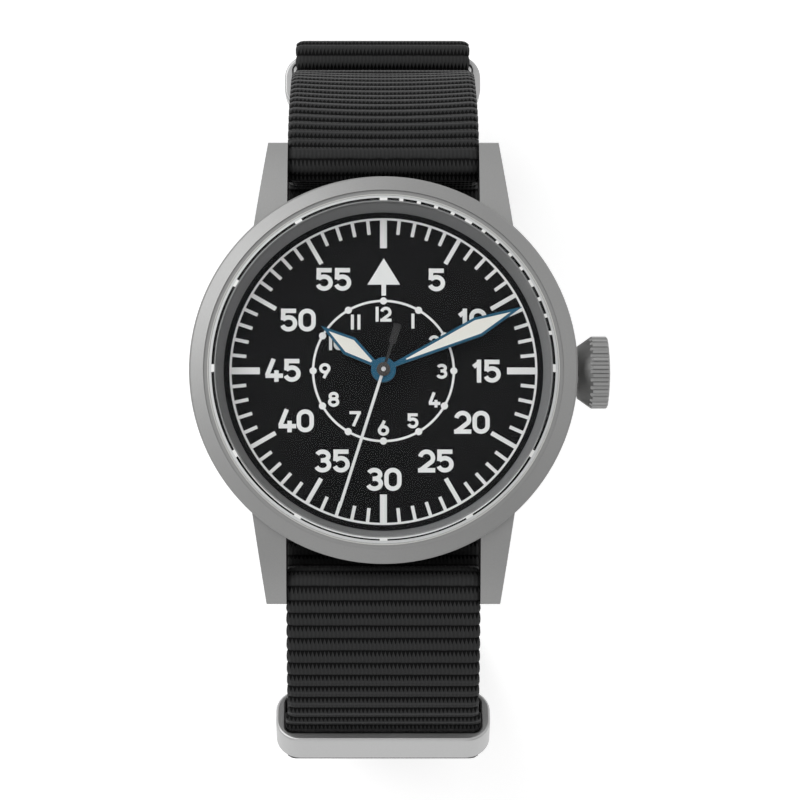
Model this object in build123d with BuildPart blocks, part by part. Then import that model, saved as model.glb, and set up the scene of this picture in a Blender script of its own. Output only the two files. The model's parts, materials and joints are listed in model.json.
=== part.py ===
from build123d import *
import os
from math import acos, atan2, cos, degrees, hypot, radians, sin, tan

os.makedirs("parts", exist_ok=True)

# A pilot watch on a woven pull-through strap. Millimetres. +Z is the dial's normal, +Y points to
# 12 o'clock and +X to 3 o'clock. The origin lies on the hands' axis, on the surface that the
# closed strap rests on.

# Driving dimensions
case_diameter = 40.0
lug_gap = 20.0
lug_overhang = 4.05
loop_height = 58.0
strap_width = 19.7
strap_thickness = 1.25
under_strap_thickness = 1.1
movement_radius = 12.8
time_shown = (10, 10.92, 32.93)

# Clearances
overrun = 1.0
slide_gap = 0.05
turn_gap = 0.04
seat_gap = 0.02
fabric_gap = 0.15
press_gap = 0.01

# Case
bezel_radius = case_diameter / 2
lug_reach = bezel_radius + lug_overhang
bezel_edge_height = 0.95
bezel_edge_chamfer = 0.18
bezel_face_width = 1.475
bezel_rise = 0.35
bezel_step_depth = 0.28
bezel_step_width = 0.405
bezel_flange = 0.37
crystal_flange_width = 0.8
case_band_setback = 0.15
case_band_height = 6.75
case_wall = 2.55
case_bore_radius = bezel_radius - case_wall
case_chamfer = 0.7
case_edge_chamfer = 0.2
crystal_gasket_wall = 0.12
crystal_chamfer = 0.63
crystal_chamfer_height = 0.6
crystal_edge_height = 0.8
crystal_dome = 0.4
rehaut_foot_width = 0.95
rehaut_top_width = 0.17
rehaut_height = 2.05

# Lugs, their side profile as heights below the ring plane
lug_tip_width = 2.05
lug_root_width = 3.6
lug_root_depth = 6.0
lug_shoulder_setback = 0.4
lug_heel_overhang = 1.3
lug_half_width_tip = lug_gap / 2 + lug_tip_width
lug_half_width_root = lug_gap / 2 + lug_root_width
lug_root = bezel_radius - lug_root_depth
lug_shoulder = bezel_radius - lug_shoulder_setback
lug_shoulder_drop = 1.75
lug_top_drop = 1.0
lug_tip_drop = 3.2
lug_tip_height = 2.4
lug_tip_edge = 0.25
lug_heel = bezel_radius + lug_heel_overhang

# Caseback and crown
caseback_height = 1.35
caseback_setback = 1.7
caseback_flange_radius = bezel_radius - caseback_setback
caseback_thread_height = 0.7
caseback_wall = 0.95
caseback_thread_wall = 1.0
caseback_step_setback = 3.7
caseback_step_radius = caseback_flange_radius - caseback_step_setback
caseback_step = 0.25
caseback_notches = 6
caseback_notch_width = 2.4
caseback_notch_depth = 0.9
caseback_gasket_width = 0.3
caseback_groove = 0.35
crown_drop = 4.4
crown_standoff = 0.2
crown_start = bezel_radius + crown_standoff
crown_cone = 1.43
crown_length = 3.1
crown_dome = 0.28
crown_radius = 3.76
crown_neck_radius = 2.75
crown_flutes = 27
crown_flute_radius = 0.27
crown_flute_outset = 0.02
crown_edge = 0.15
crown_cavity_radius = 1.75
crown_cavity_length = 2.1
crown_tube_radius = 1.25
crown_tube_bore = 0.8
crown_tube_seat = 0.15
crown_tube_inner_end = case_bore_radius + crown_tube_seat
crown_tube_reach = 1.8
crown_tube_outer_end = crown_start + crown_tube_reach
crown_seal_depth = 0.45
stem_room = 0.15
crown_seal_at = crown_start + crown_seal_depth

# Dial and hands
dial_thickness = 0.4
dial_room = 0.15
dial_radius = case_bore_radius - dial_room
dial_hole_radius = 0.95
dial_foot_radius = 0.35
dial_foot_length = 1.0
dial_foot_at = 11.4
dial_foot_angles = (118, 298)
hand_thickness = 0.15
hand_rim = 0.27
hand_hub_radius = 1.28
hour_hand_rise = 0.8
minute_hand_rise = 1.3
seconds_hand_rise = 1.75
hour_tip = 7.9
hour_shoulder = 4.3
hour_width = 2.05
hour_neck = 0.08
hour_lume_start = 1.5
minute_tip = 15.75
minute_shoulder = 10.7
minute_width = 2.05
minute_neck = 0.22
minute_lume_start = 2.57
seconds_tip = 14.9
seconds_width = 0.3
seconds_tail = 4.9
seconds_stem = 2.9
seconds_tail_width = 0.75
seconds_cap_radius = 0.69
seconds_cap_height = 0.3

# Strap, rings and buckle
bar_overhang = 2.2
bar_at = bezel_radius + bar_overhang
bar_drop = 4.9
bar_radius = 0.75
bar_tube_bore = 0.62
bar_tube_half = 8.2
tip_radius = 0.4
tip_hole_radius = 0.45
tip_reach = 10.9
tip_hole_depth = 1.1
tip_flange_radius = 0.7
tip_flange_at = 9.3
tip_flange_width = 0.2
tip_body_radius = 0.57
tip_body_end = 7.3
tip_travel = 0.9
bar_spring_wall = 0.15
bar_spring_gap = 0.2
twelve_slope = 36
twelve_reach = 5.4
twelve_bend = bar_at + twelve_reach
twelve_lower_slope = 60
six_slope = 23
six_reach = 8.3
six_bend = bar_at + six_reach
six_middle_slope = 36
six_second_reach = 4.3
six_second_bend = six_bend + six_second_reach
six_lower_slope = 54
six_wall_reach = 5.2
six_wall = six_second_bend + six_wall_reach
tail_wall_reach = 14.5
tail_wall = bar_at + tail_wall_reach
strap_layer_gap = 0.25
corner_slope = 45
corner_facet_run = 12.55
corner_facet_start = tail_wall - corner_facet_run
six_facet_run = 13.9
six_facet_start = six_wall - six_facet_run
corner_radius = 10.5
ring_side_room = 0.45
ring_wall = 1.05
ring_width = strap_width + 2 * (ring_side_room + ring_wall)
ring_height = 6.5
ring_depth = 3.5
ring_corner = 2.6
ring_inner_corner = 0.7
ring_edge = 0.25
keeper_low = 18.5
tail_fold_length = 11.0
buckle_bar_at = 17.6
buckle_bar_radius = 0.75
buckle_reach = 10.6
buckle_drop = 2.45
buckle_width = 24.6
buckle_plate = 1.6
buckle_front_bar = 2.4
buckle_side_bar = 1.65
tongue_width = 1.5
tongue_thickness = 0.8
tongue_eye_wall = 0.6
tongue_end = 11.6
strap_slot_width = 2.3
strap_hole_radius = 0.85

# Movement plates and the levels of its wheels, as drops below the main plate
plate_thickness = 1.35
motion_recess = 0.8
keyless_recess = 0.4
train_space = 1.6
bridge_thickness = 0.6
bridge_radius = 12.4
wheel_thickness = 0.15
foot_gap = 0.08
train_wheel_drop = 0.1
fourth_wheel_drop = 0.55
pallet_bridge_drop = 0.45
pallet_bridge_thickness = 0.3
balance_drop = 1.0
balance_thickness = 0.2
hairspring_drop = 1.3
hairspring_height = 0.1
great_wheel_drop = 1.33
pivot_radius = 0.1
pivot_length = 0.3
jewel_radius = 0.55
jewel_hole_radius = 0.13
jewel_thickness = 0.25
arbor_radius = 0.2
centre_tube_bore = 0.24
centre_tube_radius = 0.34
cannon_radius = 0.54
hour_pipe_radius = 0.8
stud_radius = 0.22
pillar_radius = 0.9
screw_head_radius = 0.65
screw_head_height = 0.25
screw_shank_radius = 0.35
screw_slot = 0.16

# Heights of the main planes
ring_z = loop_height
case_top = ring_z - bezel_edge_height
case_bottom = case_top - case_band_height
caseback_bottom = case_bottom - caseback_height
rehaut_foot = case_top - rehaut_height
dial_top = rehaut_foot
dial_back = dial_top - dial_thickness
stem_z = ring_z - crown_drop
bar_z = ring_z - bar_drop
plate_top = dial_back - seat_gap
plate_bottom = plate_top - plate_thickness
bridge_top = plate_bottom - train_space
bridge_bottom = bridge_top - bridge_thickness


def direction(bearing):
    return (cos(radians(bearing)), sin(radians(bearing)))


def polar(centre, distance, bearing):
    along = direction(bearing)
    return (centre[0] + distance * along[0], centre[1] + distance * along[1])


def bearing_of(start, end):
    return degrees(atan2(end[1] - start[1], end[0] - start[0]))


def third_corner(first, second, from_first, from_second, side):
    """Place a point at two given distances from two others, on one side of their line."""
    span = hypot(second[0] - first[0], second[1] - first[1])
    opening = degrees(acos((from_first**2 + span**2 - from_second**2) / (2 * from_first * span)))
    return polar(first, from_first, bearing_of(first, second) + side * opening)


# Case middle, with four lugs, a bore for the movement, a stem passage and spring bar holes
case_band_radius = bezel_radius - case_band_setback
lug_bottom = case_bottom + case_edge_chamfer
lug_tip_top = ring_z - lug_tip_drop

with BuildPart() as lugs:
    with BuildSketch(Plane.XY.offset(lug_bottom)):
        with BuildLine():
            Polyline(
                (lug_gap / 2, lug_root),
                (lug_half_width_root, lug_root),
                (lug_half_width_tip, lug_reach),
                (lug_gap / 2, lug_reach),
                close=True,
            )
        make_face()
    extrude(amount=ring_z - lug_bottom)
    with BuildSketch(Plane.YZ):
        with BuildLine():
            Line((lug_root, lug_bottom), (lug_root, ring_z - lug_top_drop))
            ThreePointArc(
                (lug_root, ring_z - lug_top_drop),
                (lug_shoulder, ring_z - lug_shoulder_drop),
                (lug_reach, lug_tip_top),
            )
            Polyline(
                (lug_reach, lug_tip_top),
                (lug_reach, lug_tip_top - lug_tip_height),
                (lug_heel, lug_bottom),
                (lug_root, lug_bottom),
            )
        make_face()
    extrude(amount=lug_half_width_root + overrun, mode=Mode.INTERSECT)
    tip_edges = lugs.edges().filter_by(Axis.X).group_by(Axis.Y)[-1]
    chamfer(tip_edges, length=lug_tip_edge / 2)
    mirror(about=Plane.YZ)
    mirror(about=Plane.XZ)

thread_radius = case_bore_radius + caseback_thread_wall / 2
case_stem_hole = crown_tube_radius + press_gap

with BuildPart() as case_middle:
    with BuildSketch(Plane.XY.offset(case_bottom)):
        Circle(case_band_radius)
    extrude(amount=case_band_height)
    chamfer(case_middle.edges().group_by(Axis.Z)[0], length=case_chamfer)
    chamfer(case_middle.edges().group_by(Axis.Z)[-1], length=case_edge_chamfer)
    add(lugs.part)
    with BuildSketch(Plane.XY.offset(case_bottom - overrun)):
        Circle(case_bore_radius)
    extrude(amount=case_band_height + 2 * overrun, mode=Mode.SUBTRACT)
    with BuildSketch(Plane.XY.offset(case_bottom)):
        Circle(thread_radius)
    extrude(amount=caseback_thread_height, mode=Mode.SUBTRACT)
    with BuildSketch(Plane.YZ.offset(case_bore_radius - overrun)):
        with Locations((0, stem_z)):
            Circle(case_stem_hole)
    extrude(amount=case_band_radius - case_bore_radius + 2 * overrun, mode=Mode.SUBTRACT)
    for side in (1, -1):
        with BuildSketch(Plane.YZ.offset(side * (lug_gap / 2 - overrun))):
            with Locations((bar_at, bar_z), (-bar_at, bar_z)):
                Circle(tip_hole_radius)
        extrude(amount=side * (overrun + tip_hole_depth), mode=Mode.SUBTRACT)
case_middle.part.label = "case_middle"
export_step(case_middle.part, "parts/case_middle.step")

# Bezel, revolved about the hands' axis
bezel_inner_edge = bezel_radius - bezel_face_width
bezel_bore = bezel_inner_edge - bezel_step_width
crystal_seat = case_top + bezel_flange
bezel_flange_radius = bezel_bore - crystal_flange_width
bezel_peak = ring_z + bezel_rise

with BuildPart() as bezel:
    with BuildSketch(Plane.XZ):
        with BuildLine():
            Polyline(
                (bezel_flange_radius, case_top),
                (bezel_radius, case_top),
                (bezel_radius, ring_z - bezel_edge_chamfer),
                (bezel_radius - bezel_edge_chamfer, ring_z),
                (bezel_inner_edge, bezel_peak),
                (bezel_inner_edge, bezel_peak - bezel_step_depth),
                (bezel_bore, bezel_peak - bezel_step_depth),
                (bezel_bore, crystal_seat),
                (bezel_flange_radius, crystal_seat),
                close=True,
            )
        make_face()
    revolve(axis=Axis.Z)
bezel.part.label = "bezel"
export_step(bezel.part, "parts/bezel.step")

# Domed crystal with a chamfered edge, in its ring-shaped gasket
crystal_radius = bezel_bore - crystal_gasket_wall - 2 * press_gap
crystal_back = crystal_seat + press_gap
crystal_edge_top = crystal_back + crystal_edge_height
crystal_shoulder = crystal_edge_top + crystal_chamfer_height
crystal_top = crystal_shoulder + crystal_dome

with BuildPart() as crystal:
    with BuildSketch(Plane.XZ):
        with BuildLine():
            Polyline(
                (0, crystal_top),
                (0, crystal_back),
                (crystal_radius, crystal_back),
                (crystal_radius, crystal_edge_top),
                (crystal_radius - crystal_chamfer, crystal_shoulder),
            )
            TangentArc(
                (0, crystal_top), (crystal_radius - crystal_chamfer, crystal_shoulder), tangent=(1, 0)
            )
        make_face()
    revolve(axis=Axis.Z)
crystal.part.label = "crystal"
export_step(crystal.part, "parts/crystal.step")

with BuildPart() as crystal_gasket:
    with BuildSketch(Plane.XY.offset(crystal_back)):
        Circle(bezel_bore - press_gap)
        Circle(crystal_radius + press_gap, mode=Mode.SUBTRACT)
    extrude(amount=crystal_edge_height - press_gap)
crystal_gasket.part.label = "crystal_gasket"
export_step(crystal_gasket.part, "parts/crystal_gasket.step")

# Sloping inner ring between the crystal and the dial
rehaut_radius = case_bore_radius - press_gap

with BuildPart() as rehaut:
    with BuildSketch(Plane.XZ):
        with BuildLine():
            Polyline(
                (rehaut_radius, rehaut_foot),
                (rehaut_radius, case_top),
                (rehaut_radius - rehaut_top_width, case_top),
                (rehaut_radius - rehaut_foot_width, rehaut_foot),
                close=True,
            )
        make_face()
    revolve(axis=Axis.Z)
rehaut.part.label = "rehaut"
export_step(rehaut.part, "parts/rehaut.step")

# Caseback, screwed in from below with a flat gasket in its flange
caseback_thread_radius = thread_radius - seat_gap
caseback_top = case_bottom + caseback_thread_height - seat_gap
gasket_radius = caseback_flange_radius - caseback_gasket_width

with BuildPart() as caseback:
    with BuildSketch(Plane.XY.offset(caseback_bottom)):
        Circle(caseback_step_radius)
    extrude(amount=caseback_step)
    with BuildSketch(Plane.XY.offset(caseback_bottom + caseback_step)):
        Circle(caseback_flange_radius)
    extrude(amount=caseback_height - caseback_step)
    with BuildSketch(Plane.XY.offset(case_bottom)):
        Circle(caseback_thread_radius)
    extrude(amount=caseback_thread_height - seat_gap)
    with BuildSketch(Plane.XY.offset(caseback_bottom + caseback_wall)):
        Circle(case_bore_radius - caseback_thread_wall)
    extrude(amount=caseback_height + caseback_thread_height, mode=Mode.SUBTRACT)
    with BuildSketch(Plane.XY.offset(caseback_bottom)):
        with PolarLocations(caseback_flange_radius, caseback_notches):
            Rectangle(2 * caseback_notch_depth, caseback_notch_width)
    extrude(amount=caseback_wall, mode=Mode.SUBTRACT)
    with BuildSketch(Plane.XY.offset(case_bottom - caseback_groove)):
        Circle(gasket_radius + press_gap)
        Circle(caseback_thread_radius, mode=Mode.SUBTRACT)
    extrude(amount=caseback_groove, mode=Mode.SUBTRACT)
caseback.part.label = "caseback"
export_step(caseback.part, "parts/caseback.step")

with BuildPart() as caseback_gasket:
    with BuildSketch(Plane.XY.offset(case_bottom - caseback_groove + press_gap)):
        Circle(gasket_radius)
        Circle(caseback_thread_radius + press_gap, mode=Mode.SUBTRACT)
    extrude(amount=caseback_groove - 2 * press_gap)
caseback_gasket.part.label = "caseback_gasket"
export_step(caseback_gasket.part, "parts/caseback_gasket.step")

# Dial, held against the inner ring, with two feet that reach into the main plate
with BuildPart() as dial:
    with BuildSketch(Plane.XY.offset(dial_back)):
        Circle(dial_radius)
        Circle(dial_hole_radius, mode=Mode.SUBTRACT)
    extrude(amount=dial_thickness)
    with BuildSketch(Plane.XY.offset(dial_back)):
        with Locations(*[polar((0, 0), dial_foot_at, bearing) for bearing in dial_foot_angles]):
            Circle(dial_foot_radius)
    extrude(amount=-dial_foot_length)
dial.part.label = "dial"
export_step(dial.part, "parts/dial.step")

# Movement layout. All places are in the plane of the dial, seen from the front
barrel_teeth, barrel_module = 84, 0.11
great_pinion_teeth = 12
great_teeth, great_module = 80, 0.1
third_pinion_teeth = 10
third_teeth, third_module = 75, 0.085
fourth_pinion_teeth = 10
fourth_teeth, fourth_module = 84, 0.07
escape_pinion_teeth = 7
escape_teeth, escape_radius = 20, 2.2
cannon_teeth, motion_module = 12, 0.12
minute_wheel_teeth = 36
minute_pinion_teeth = 10
hour_wheel_teeth = 40
setting_teeth = 16
ratchet_teeth, ratchet_module = 56, 0.14
crown_wheel_teeth = 32
crown_face_teeth, crown_face_radius = 16, 1.3
barrel_distance, barrel_bearing = 7.85, 45
great_distance = 4.4
escape_bearing = -60
pallet_distance, pallet_bearing = 2.54, -75
balance_distance, balance_bearing = 3.0, -120
setting_offset = 0.75


def mesh_distance(module, *teeth):
    return module * sum(teeth) / 2


hands_axis = (0, 0)
barrel_axis = polar(hands_axis, barrel_distance, barrel_bearing)
great_axis = third_corner(
    hands_axis,
    barrel_axis,
    great_distance,
    mesh_distance(barrel_module, barrel_teeth, great_pinion_teeth),
    1,
)
third_axis = third_corner(
    hands_axis,
    great_axis,
    mesh_distance(third_module, third_teeth, fourth_pinion_teeth),
    mesh_distance(great_module, great_teeth, third_pinion_teeth),
    1,
)
escape_axis = polar(
    hands_axis, mesh_distance(fourth_module, fourth_teeth, escape_pinion_teeth), escape_bearing
)
pallet_axis = polar(escape_axis, pallet_distance, pallet_bearing)
balance_axis = polar(pallet_axis, balance_distance, balance_bearing)
motion_distance = mesh_distance(motion_module, cannon_teeth, minute_wheel_teeth)
minute_wheel_axis = third_corner(hands_axis, great_axis, motion_distance, motion_distance, -1)
hour_module = 2 * motion_distance / (minute_pinion_teeth + hour_wheel_teeth)
setting_distance = mesh_distance(motion_module, minute_wheel_teeth, setting_teeth)
setting_rise = minute_wheel_axis[1] - setting_offset
setting_axis = (
    minute_wheel_axis[0] + (setting_distance**2 - setting_rise**2) ** 0.5,
    setting_offset,
)
winding_distance = mesh_distance(ratchet_module, ratchet_teeth, crown_wheel_teeth)
crown_wheel_axis = (barrel_axis[0] + (winding_distance**2 - barrel_axis[1] ** 2) ** 0.5, 0)

tooth_addendum_share = 0.8
tooth_dedendum_share = 1.1
tooth_root_share = 0.32
tooth_tip_share = 0.14


def tooth_points(centre, teeth, module, phase):
    """Give the outline of a spur wheel, four points to a tooth, with a tooth at the phase angle."""
    tip = module * (teeth / 2 + tooth_addendum_share)
    root = module * (teeth / 2 - tooth_dedendum_share)
    pitch = 360 / teeth
    points = []
    for tooth in range(teeth):
        middle = phase + tooth * pitch
        for reach, share in (
            (root, -tooth_root_share),
            (tip, -tooth_tip_share),
            (tip, tooth_tip_share),
            (root, tooth_root_share),
        ):
            points.append(polar(centre, reach, middle + share * pitch))
    return points


def meshed(first_phase, first_teeth, second_teeth, bearing):
    """Give the phase of a second wheel whose gap meets the first wheel's tooth."""
    lead = first_phase - bearing
    return bearing + 180 - lead * first_teeth / second_teeth + 180 / second_teeth


def geared_arbor(label, centre, gears, shafts, windows=()):
    """Build an arbor with its wheels and pinions, as one turned and cut piece."""
    with BuildPart() as piece:
        for radius, low, high in shafts:
            with BuildSketch(Plane.XY.offset(low)):
                with Locations(centre):
                    Circle(radius)
            extrude(amount=high - low)
        for teeth, module, phase, low, high in gears:
            with BuildSketch(Plane.XY.offset(low)):
                with BuildLine():
                    Polyline(*tooth_points(centre, teeth, module, phase), close=True)
                make_face()
            extrude(amount=high - low)
        for count, at, radius, low, high in windows:
            with BuildSketch(Plane.XY.offset(low)):
                with Locations(centre):
                    with PolarLocations(at, count):
                        Circle(radius)
            extrude(amount=high - low, mode=Mode.SUBTRACT)
    piece.part.label = label
    export_step(piece.part, f"parts/{label}.step")
    return piece


# Levels of the wheels between the main plate and the bridges
train_top = plate_bottom - train_wheel_drop
train_low = train_top - wheel_thickness
fourth_top = plate_bottom - fourth_wheel_drop
fourth_low = fourth_top - wheel_thickness
great_top = plate_bottom - great_wheel_drop
great_low = great_top - wheel_thickness
pivot_low = bridge_top - pivot_length
pivot_high = plate_bottom + pivot_length

barrel_phase = bearing_of(barrel_axis, great_axis)
great_pinion_phase = meshed(barrel_phase, barrel_teeth, great_pinion_teeth, barrel_phase)
great_phase = bearing_of(great_axis, third_axis)
third_pinion_phase = meshed(great_phase, great_teeth, third_pinion_teeth, great_phase)
third_phase = bearing_of(third_axis, hands_axis)
fourth_pinion_phase = meshed(third_phase, third_teeth, fourth_pinion_teeth, third_phase)
fourth_phase = escape_bearing
escape_pinion_phase = meshed(fourth_phase, fourth_teeth, escape_pinion_teeth, fourth_phase)
driving_phase = bearing_of(great_axis, minute_wheel_axis)
minute_wheel_phase = meshed(driving_phase, cannon_teeth, minute_wheel_teeth, driving_phase)
minute_pinion_phase = bearing_of(minute_wheel_axis, hands_axis)
cannon_phase = meshed(
    minute_wheel_phase, minute_wheel_teeth, cannon_teeth, minute_pinion_phase
)
hour_wheel_phase = meshed(
    minute_pinion_phase, minute_pinion_teeth, hour_wheel_teeth, minute_pinion_phase
)
setting_phase = meshed(
    minute_wheel_phase,
    minute_wheel_teeth,
    setting_teeth,
    bearing_of(minute_wheel_axis, setting_axis),
)
ratchet_phase = bearing_of(barrel_axis, crown_wheel_axis)
crown_wheel_phase = meshed(ratchet_phase, ratchet_teeth, crown_wheel_teeth, ratchet_phase)

window_share = 0.62
window_reach_share = 0.56
great_window_share = 0.644
escape_window_share = 0.504


def wheel_windows(teeth, module, low, high, count=5):
    """Give the lightening holes of a wheel: count, reach, radius and the heights they span."""
    reach = module * teeth / 2 * window_reach_share
    radius = reach * sin(radians(180 / count)) * window_share
    return (count, reach, radius, low - seat_gap, high + seat_gap)


def spiral_side(centre, reach, step, half_turns):
    """Draw one side of a flat spiral from half circles and return its two ends."""
    first = (centre[0] + reach, centre[1])
    end = first
    for half_turn in range(half_turns):
        side = 1 if half_turn % 2 == 0 else -1
        start = end
        reach -= step
        end = (centre[0] - side * reach, centre[1])
        middle_x = (start[0] + end[0]) / 2
        bulge = abs(start[0] - end[0]) / 2
        ThreePointArc(start, (middle_x, centre[1] + side * bulge), end)
    return first, end


def spiral_spring(label, centre, outer, inner, turns, thickness, low, high):
    """Build a flat spiral spring as one band of half circles."""
    step = (outer - inner) / turns / 2
    with BuildPart() as piece:
        with BuildSketch(Plane.XY.offset(low)):
            with BuildLine():
                outer_first, outer_end = spiral_side(centre, outer, step, 2 * turns)
                inner_first, inner_end = spiral_side(centre, outer - thickness, step, 2 * turns)
                Line(outer_first, inner_first)
                Line(outer_end, inner_end)
            make_face()
        extrude(amount=high - low)
    piece.part.label = label
    export_step(piece.part, f"parts/{label}.step")


# Barrel drum with its floor and cover, and the mainspring inside it
barrel_height = 1.0
barrel_wall = 0.22
barrel_floor = 0.15
barrel_tooth_height = 0.25
barrel_arbor_radius = 1.1
barrel_pivot_radius = 0.45
mainspring_turns = 9
mainspring_thickness = 0.09
barrel_top = plate_bottom - foot_gap
barrel_bottom = barrel_top - barrel_height
barrel_drum_radius = barrel_module * (barrel_teeth / 2 - tooth_dedendum_share)
spring_room = barrel_drum_radius - barrel_wall
spring_low = barrel_bottom + barrel_floor + seat_gap
spring_high = barrel_top - barrel_floor - foot_gap

with BuildPart() as barrel:
    with BuildSketch(Plane.XY.offset(barrel_bottom)):
        with Locations(barrel_axis):
            Circle(barrel_drum_radius)
    extrude(amount=barrel_height)
    with BuildSketch(Plane.XY.offset(barrel_top - barrel_tooth_height)):
        with BuildLine():
            Polyline(
                *tooth_points(barrel_axis, barrel_teeth, barrel_module, barrel_phase), close=True
            )
        make_face()
    extrude(amount=barrel_tooth_height)
    with BuildSketch(Plane.XY.offset(barrel_bottom + barrel_floor)):
        with Locations(barrel_axis):
            Circle(spring_room)
    extrude(amount=barrel_height - 2 * barrel_floor, mode=Mode.SUBTRACT)
    with BuildSketch(Plane.XY.offset(barrel_bottom - overrun)):
        with Locations(barrel_axis):
            Circle(barrel_pivot_radius + turn_gap)
    extrude(amount=barrel_height + 2 * overrun, mode=Mode.SUBTRACT)
barrel.part.label = "barrel"
export_step(barrel.part, "parts/barrel.step")

spiral_spring(
    "mainspring",
    barrel_axis,
    spring_room - seat_gap,
    barrel_arbor_radius + mainspring_thickness + seat_gap,
    mainspring_turns,
    mainspring_thickness,
    spring_low,
    spring_high,
)

# Ratchet wheel with the barrel arbor, and the crown wheel that drives it
winding_radius = 0.9
winding_teeth = 14
winding_length = 0.85
winding_start = 9.1
face_engagement = 0.05
face_thickness = 0.2
ratchet_thickness = 0.22
crown_hub_radius = 0.6
ratchet_top = bridge_bottom - foot_gap
ratchet_low = ratchet_top - ratchet_thickness
crown_face_top = stem_z - winding_radius + face_engagement
crown_face_low = crown_face_top - face_thickness
crown_face_module = 2 * crown_face_radius / (crown_face_teeth + 2 * tooth_addendum_share)

geared_arbor(
    "ratchet_wheel",
    barrel_axis,
    [(ratchet_teeth, ratchet_module, ratchet_phase, ratchet_low, ratchet_top)],
    [
        (barrel_pivot_radius, ratchet_top, pivot_high),
        (barrel_arbor_radius, spring_low, spring_high),
    ],
)
geared_arbor(
    "crown_wheel",
    crown_wheel_axis,
    [
        (crown_wheel_teeth, ratchet_module, crown_wheel_phase, ratchet_low, ratchet_top),
        (crown_face_teeth, crown_face_module, 0, crown_face_low, crown_face_top),
    ],
    [(crown_hub_radius, ratchet_top, crown_face_low)],
)

# Going train, from the barrel to the escape wheel
fourth_pinion_top = plate_bottom - seat_gap
driving_low = plate_top - motion_recess + foot_gap
driving_height = 0.25
seconds_low = dial_top + seconds_hand_rise
seconds_cap_top = seconds_low + hand_thickness + seconds_cap_height

geared_arbor(
    "great_wheel",
    great_axis,
    [
        (great_pinion_teeth, barrel_module, great_pinion_phase, great_top, train_top),
        (great_teeth, great_module, great_phase, great_low, great_top),
        (cannon_teeth, motion_module, driving_phase, driving_low, driving_low + driving_height),
    ],
    [(pivot_radius, pivot_low, great_low), (arbor_radius, train_top, driving_low)],
    [
        (
            6,
            great_module * great_teeth / 2 * great_window_share,
            great_module * great_teeth / 2 * window_reach_share * sin(radians(30)) * window_share,
            great_low - seat_gap,
            great_top,
        )
    ],
)
geared_arbor(
    "third_wheel",
    third_axis,
    [
        (third_teeth, third_module, third_phase, train_low, train_top),
        (third_pinion_teeth, great_module, third_pinion_phase, great_low, train_low - foot_gap),
    ],
    [(arbor_radius, great_low, train_top), (pivot_radius, pivot_low, pivot_high)],
    [wheel_windows(third_teeth, third_module, train_low, train_top)],
)
geared_arbor(
    "fourth_wheel",
    hands_axis,
    [
        (fourth_teeth, fourth_module, fourth_phase, fourth_low, fourth_top),
        (fourth_pinion_teeth, third_module, fourth_pinion_phase, fourth_top, fourth_pinion_top),
    ],
    [(arbor_radius, fourth_low, seconds_cap_top), (pivot_radius, pivot_low, fourth_low)],
    [wheel_windows(fourth_teeth, fourth_module, fourth_low, fourth_top)],
)

# Escape wheel with hooked teeth
escape_tooth_depth = 0.5
escape_lean_share = 0.3
escape_land_share = 0.12
escape_low = train_low
escape_pinion_top = fourth_top + foot_gap
escape_points = []
for tooth in range(escape_teeth):
    middle = pallet_bearing + tooth * 360 / escape_teeth
    pitch = 360 / escape_teeth
    escape_points += [
        polar(escape_axis, escape_radius - escape_tooth_depth, middle - escape_lean_share * pitch),
        polar(escape_axis, escape_radius, middle),
        polar(escape_axis, escape_radius, middle + escape_land_share * pitch),
        polar(escape_axis, escape_radius - escape_tooth_depth, middle + escape_lean_share * pitch),
    ]

with BuildPart() as escape_wheel:
    with BuildSketch(Plane.XY.offset(escape_low)):
        with BuildLine():
            Polyline(*escape_points, close=True)
        make_face()
        with Locations(escape_axis):
            with PolarLocations(escape_radius * escape_window_share, 4):
                Circle(escape_radius * window_reach_share / 2, mode=Mode.SUBTRACT)
    extrude(amount=wheel_thickness)
    with BuildSketch(Plane.XY.offset(fourth_low - foot_gap)):
        with BuildLine():
            Polyline(
                *tooth_points(
                    escape_axis, escape_pinion_teeth, fourth_module, escape_pinion_phase
                ),
                close=True,
            )
        make_face()
    extrude(amount=escape_pinion_top - fourth_low + foot_gap)
    with BuildSketch(Plane.XY.offset(pivot_low)):
        with Locations(escape_axis):
            Circle(pivot_radius)
    extrude(amount=pivot_high - pivot_low)
escape_wheel.part.label = "escape_wheel"
export_step(escape_wheel.part, "parts/escape_wheel.step")

# Pallet fork, whose two stones stand just clear of the escape teeth
pallet_embrace = 30
pallet_stand_off = 0.13
pallet_arm_width = 0.26
pallet_lever = 2.1
fork_gap = 0.24
fork_horn = 0.32
fork_horn_width = 0.16
pallet_stones = [
    polar(escape_axis, escape_radius + pallet_stand_off, pallet_bearing + turn)
    for turn in (pallet_embrace, -pallet_embrace)
]
pallet_bridge_top = plate_bottom - pallet_bridge_drop
pallet_bridge_low = pallet_bridge_top - pallet_bridge_thickness
fork_end = polar(pallet_axis, pallet_lever, balance_bearing)

with BuildPart() as pallet_fork:
    with BuildSketch(Plane.XY.offset(train_low)):
        with BuildLine():
            for stone in pallet_stones:
                Line(pallet_axis, stone)
            Line(pallet_axis, fork_end)
        trace(line_width=pallet_arm_width)
        with Locations(pallet_axis):
            Circle(pallet_arm_width)
        with Locations(Location(fork_end, balance_bearing)):
            with GridLocations(0, fork_gap + fork_horn_width, 1, 2):
                Rectangle(fork_horn, fork_horn_width)
    extrude(amount=wheel_thickness)
    with BuildSketch(Plane.XY.offset(pallet_bridge_low)):
        with Locations(pallet_axis):
            Circle(pivot_radius)
    extrude(amount=pivot_high - pallet_bridge_low)
pallet_fork.part.label = "pallet_fork"
export_step(pallet_fork.part, "parts/pallet_fork.step")

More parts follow.
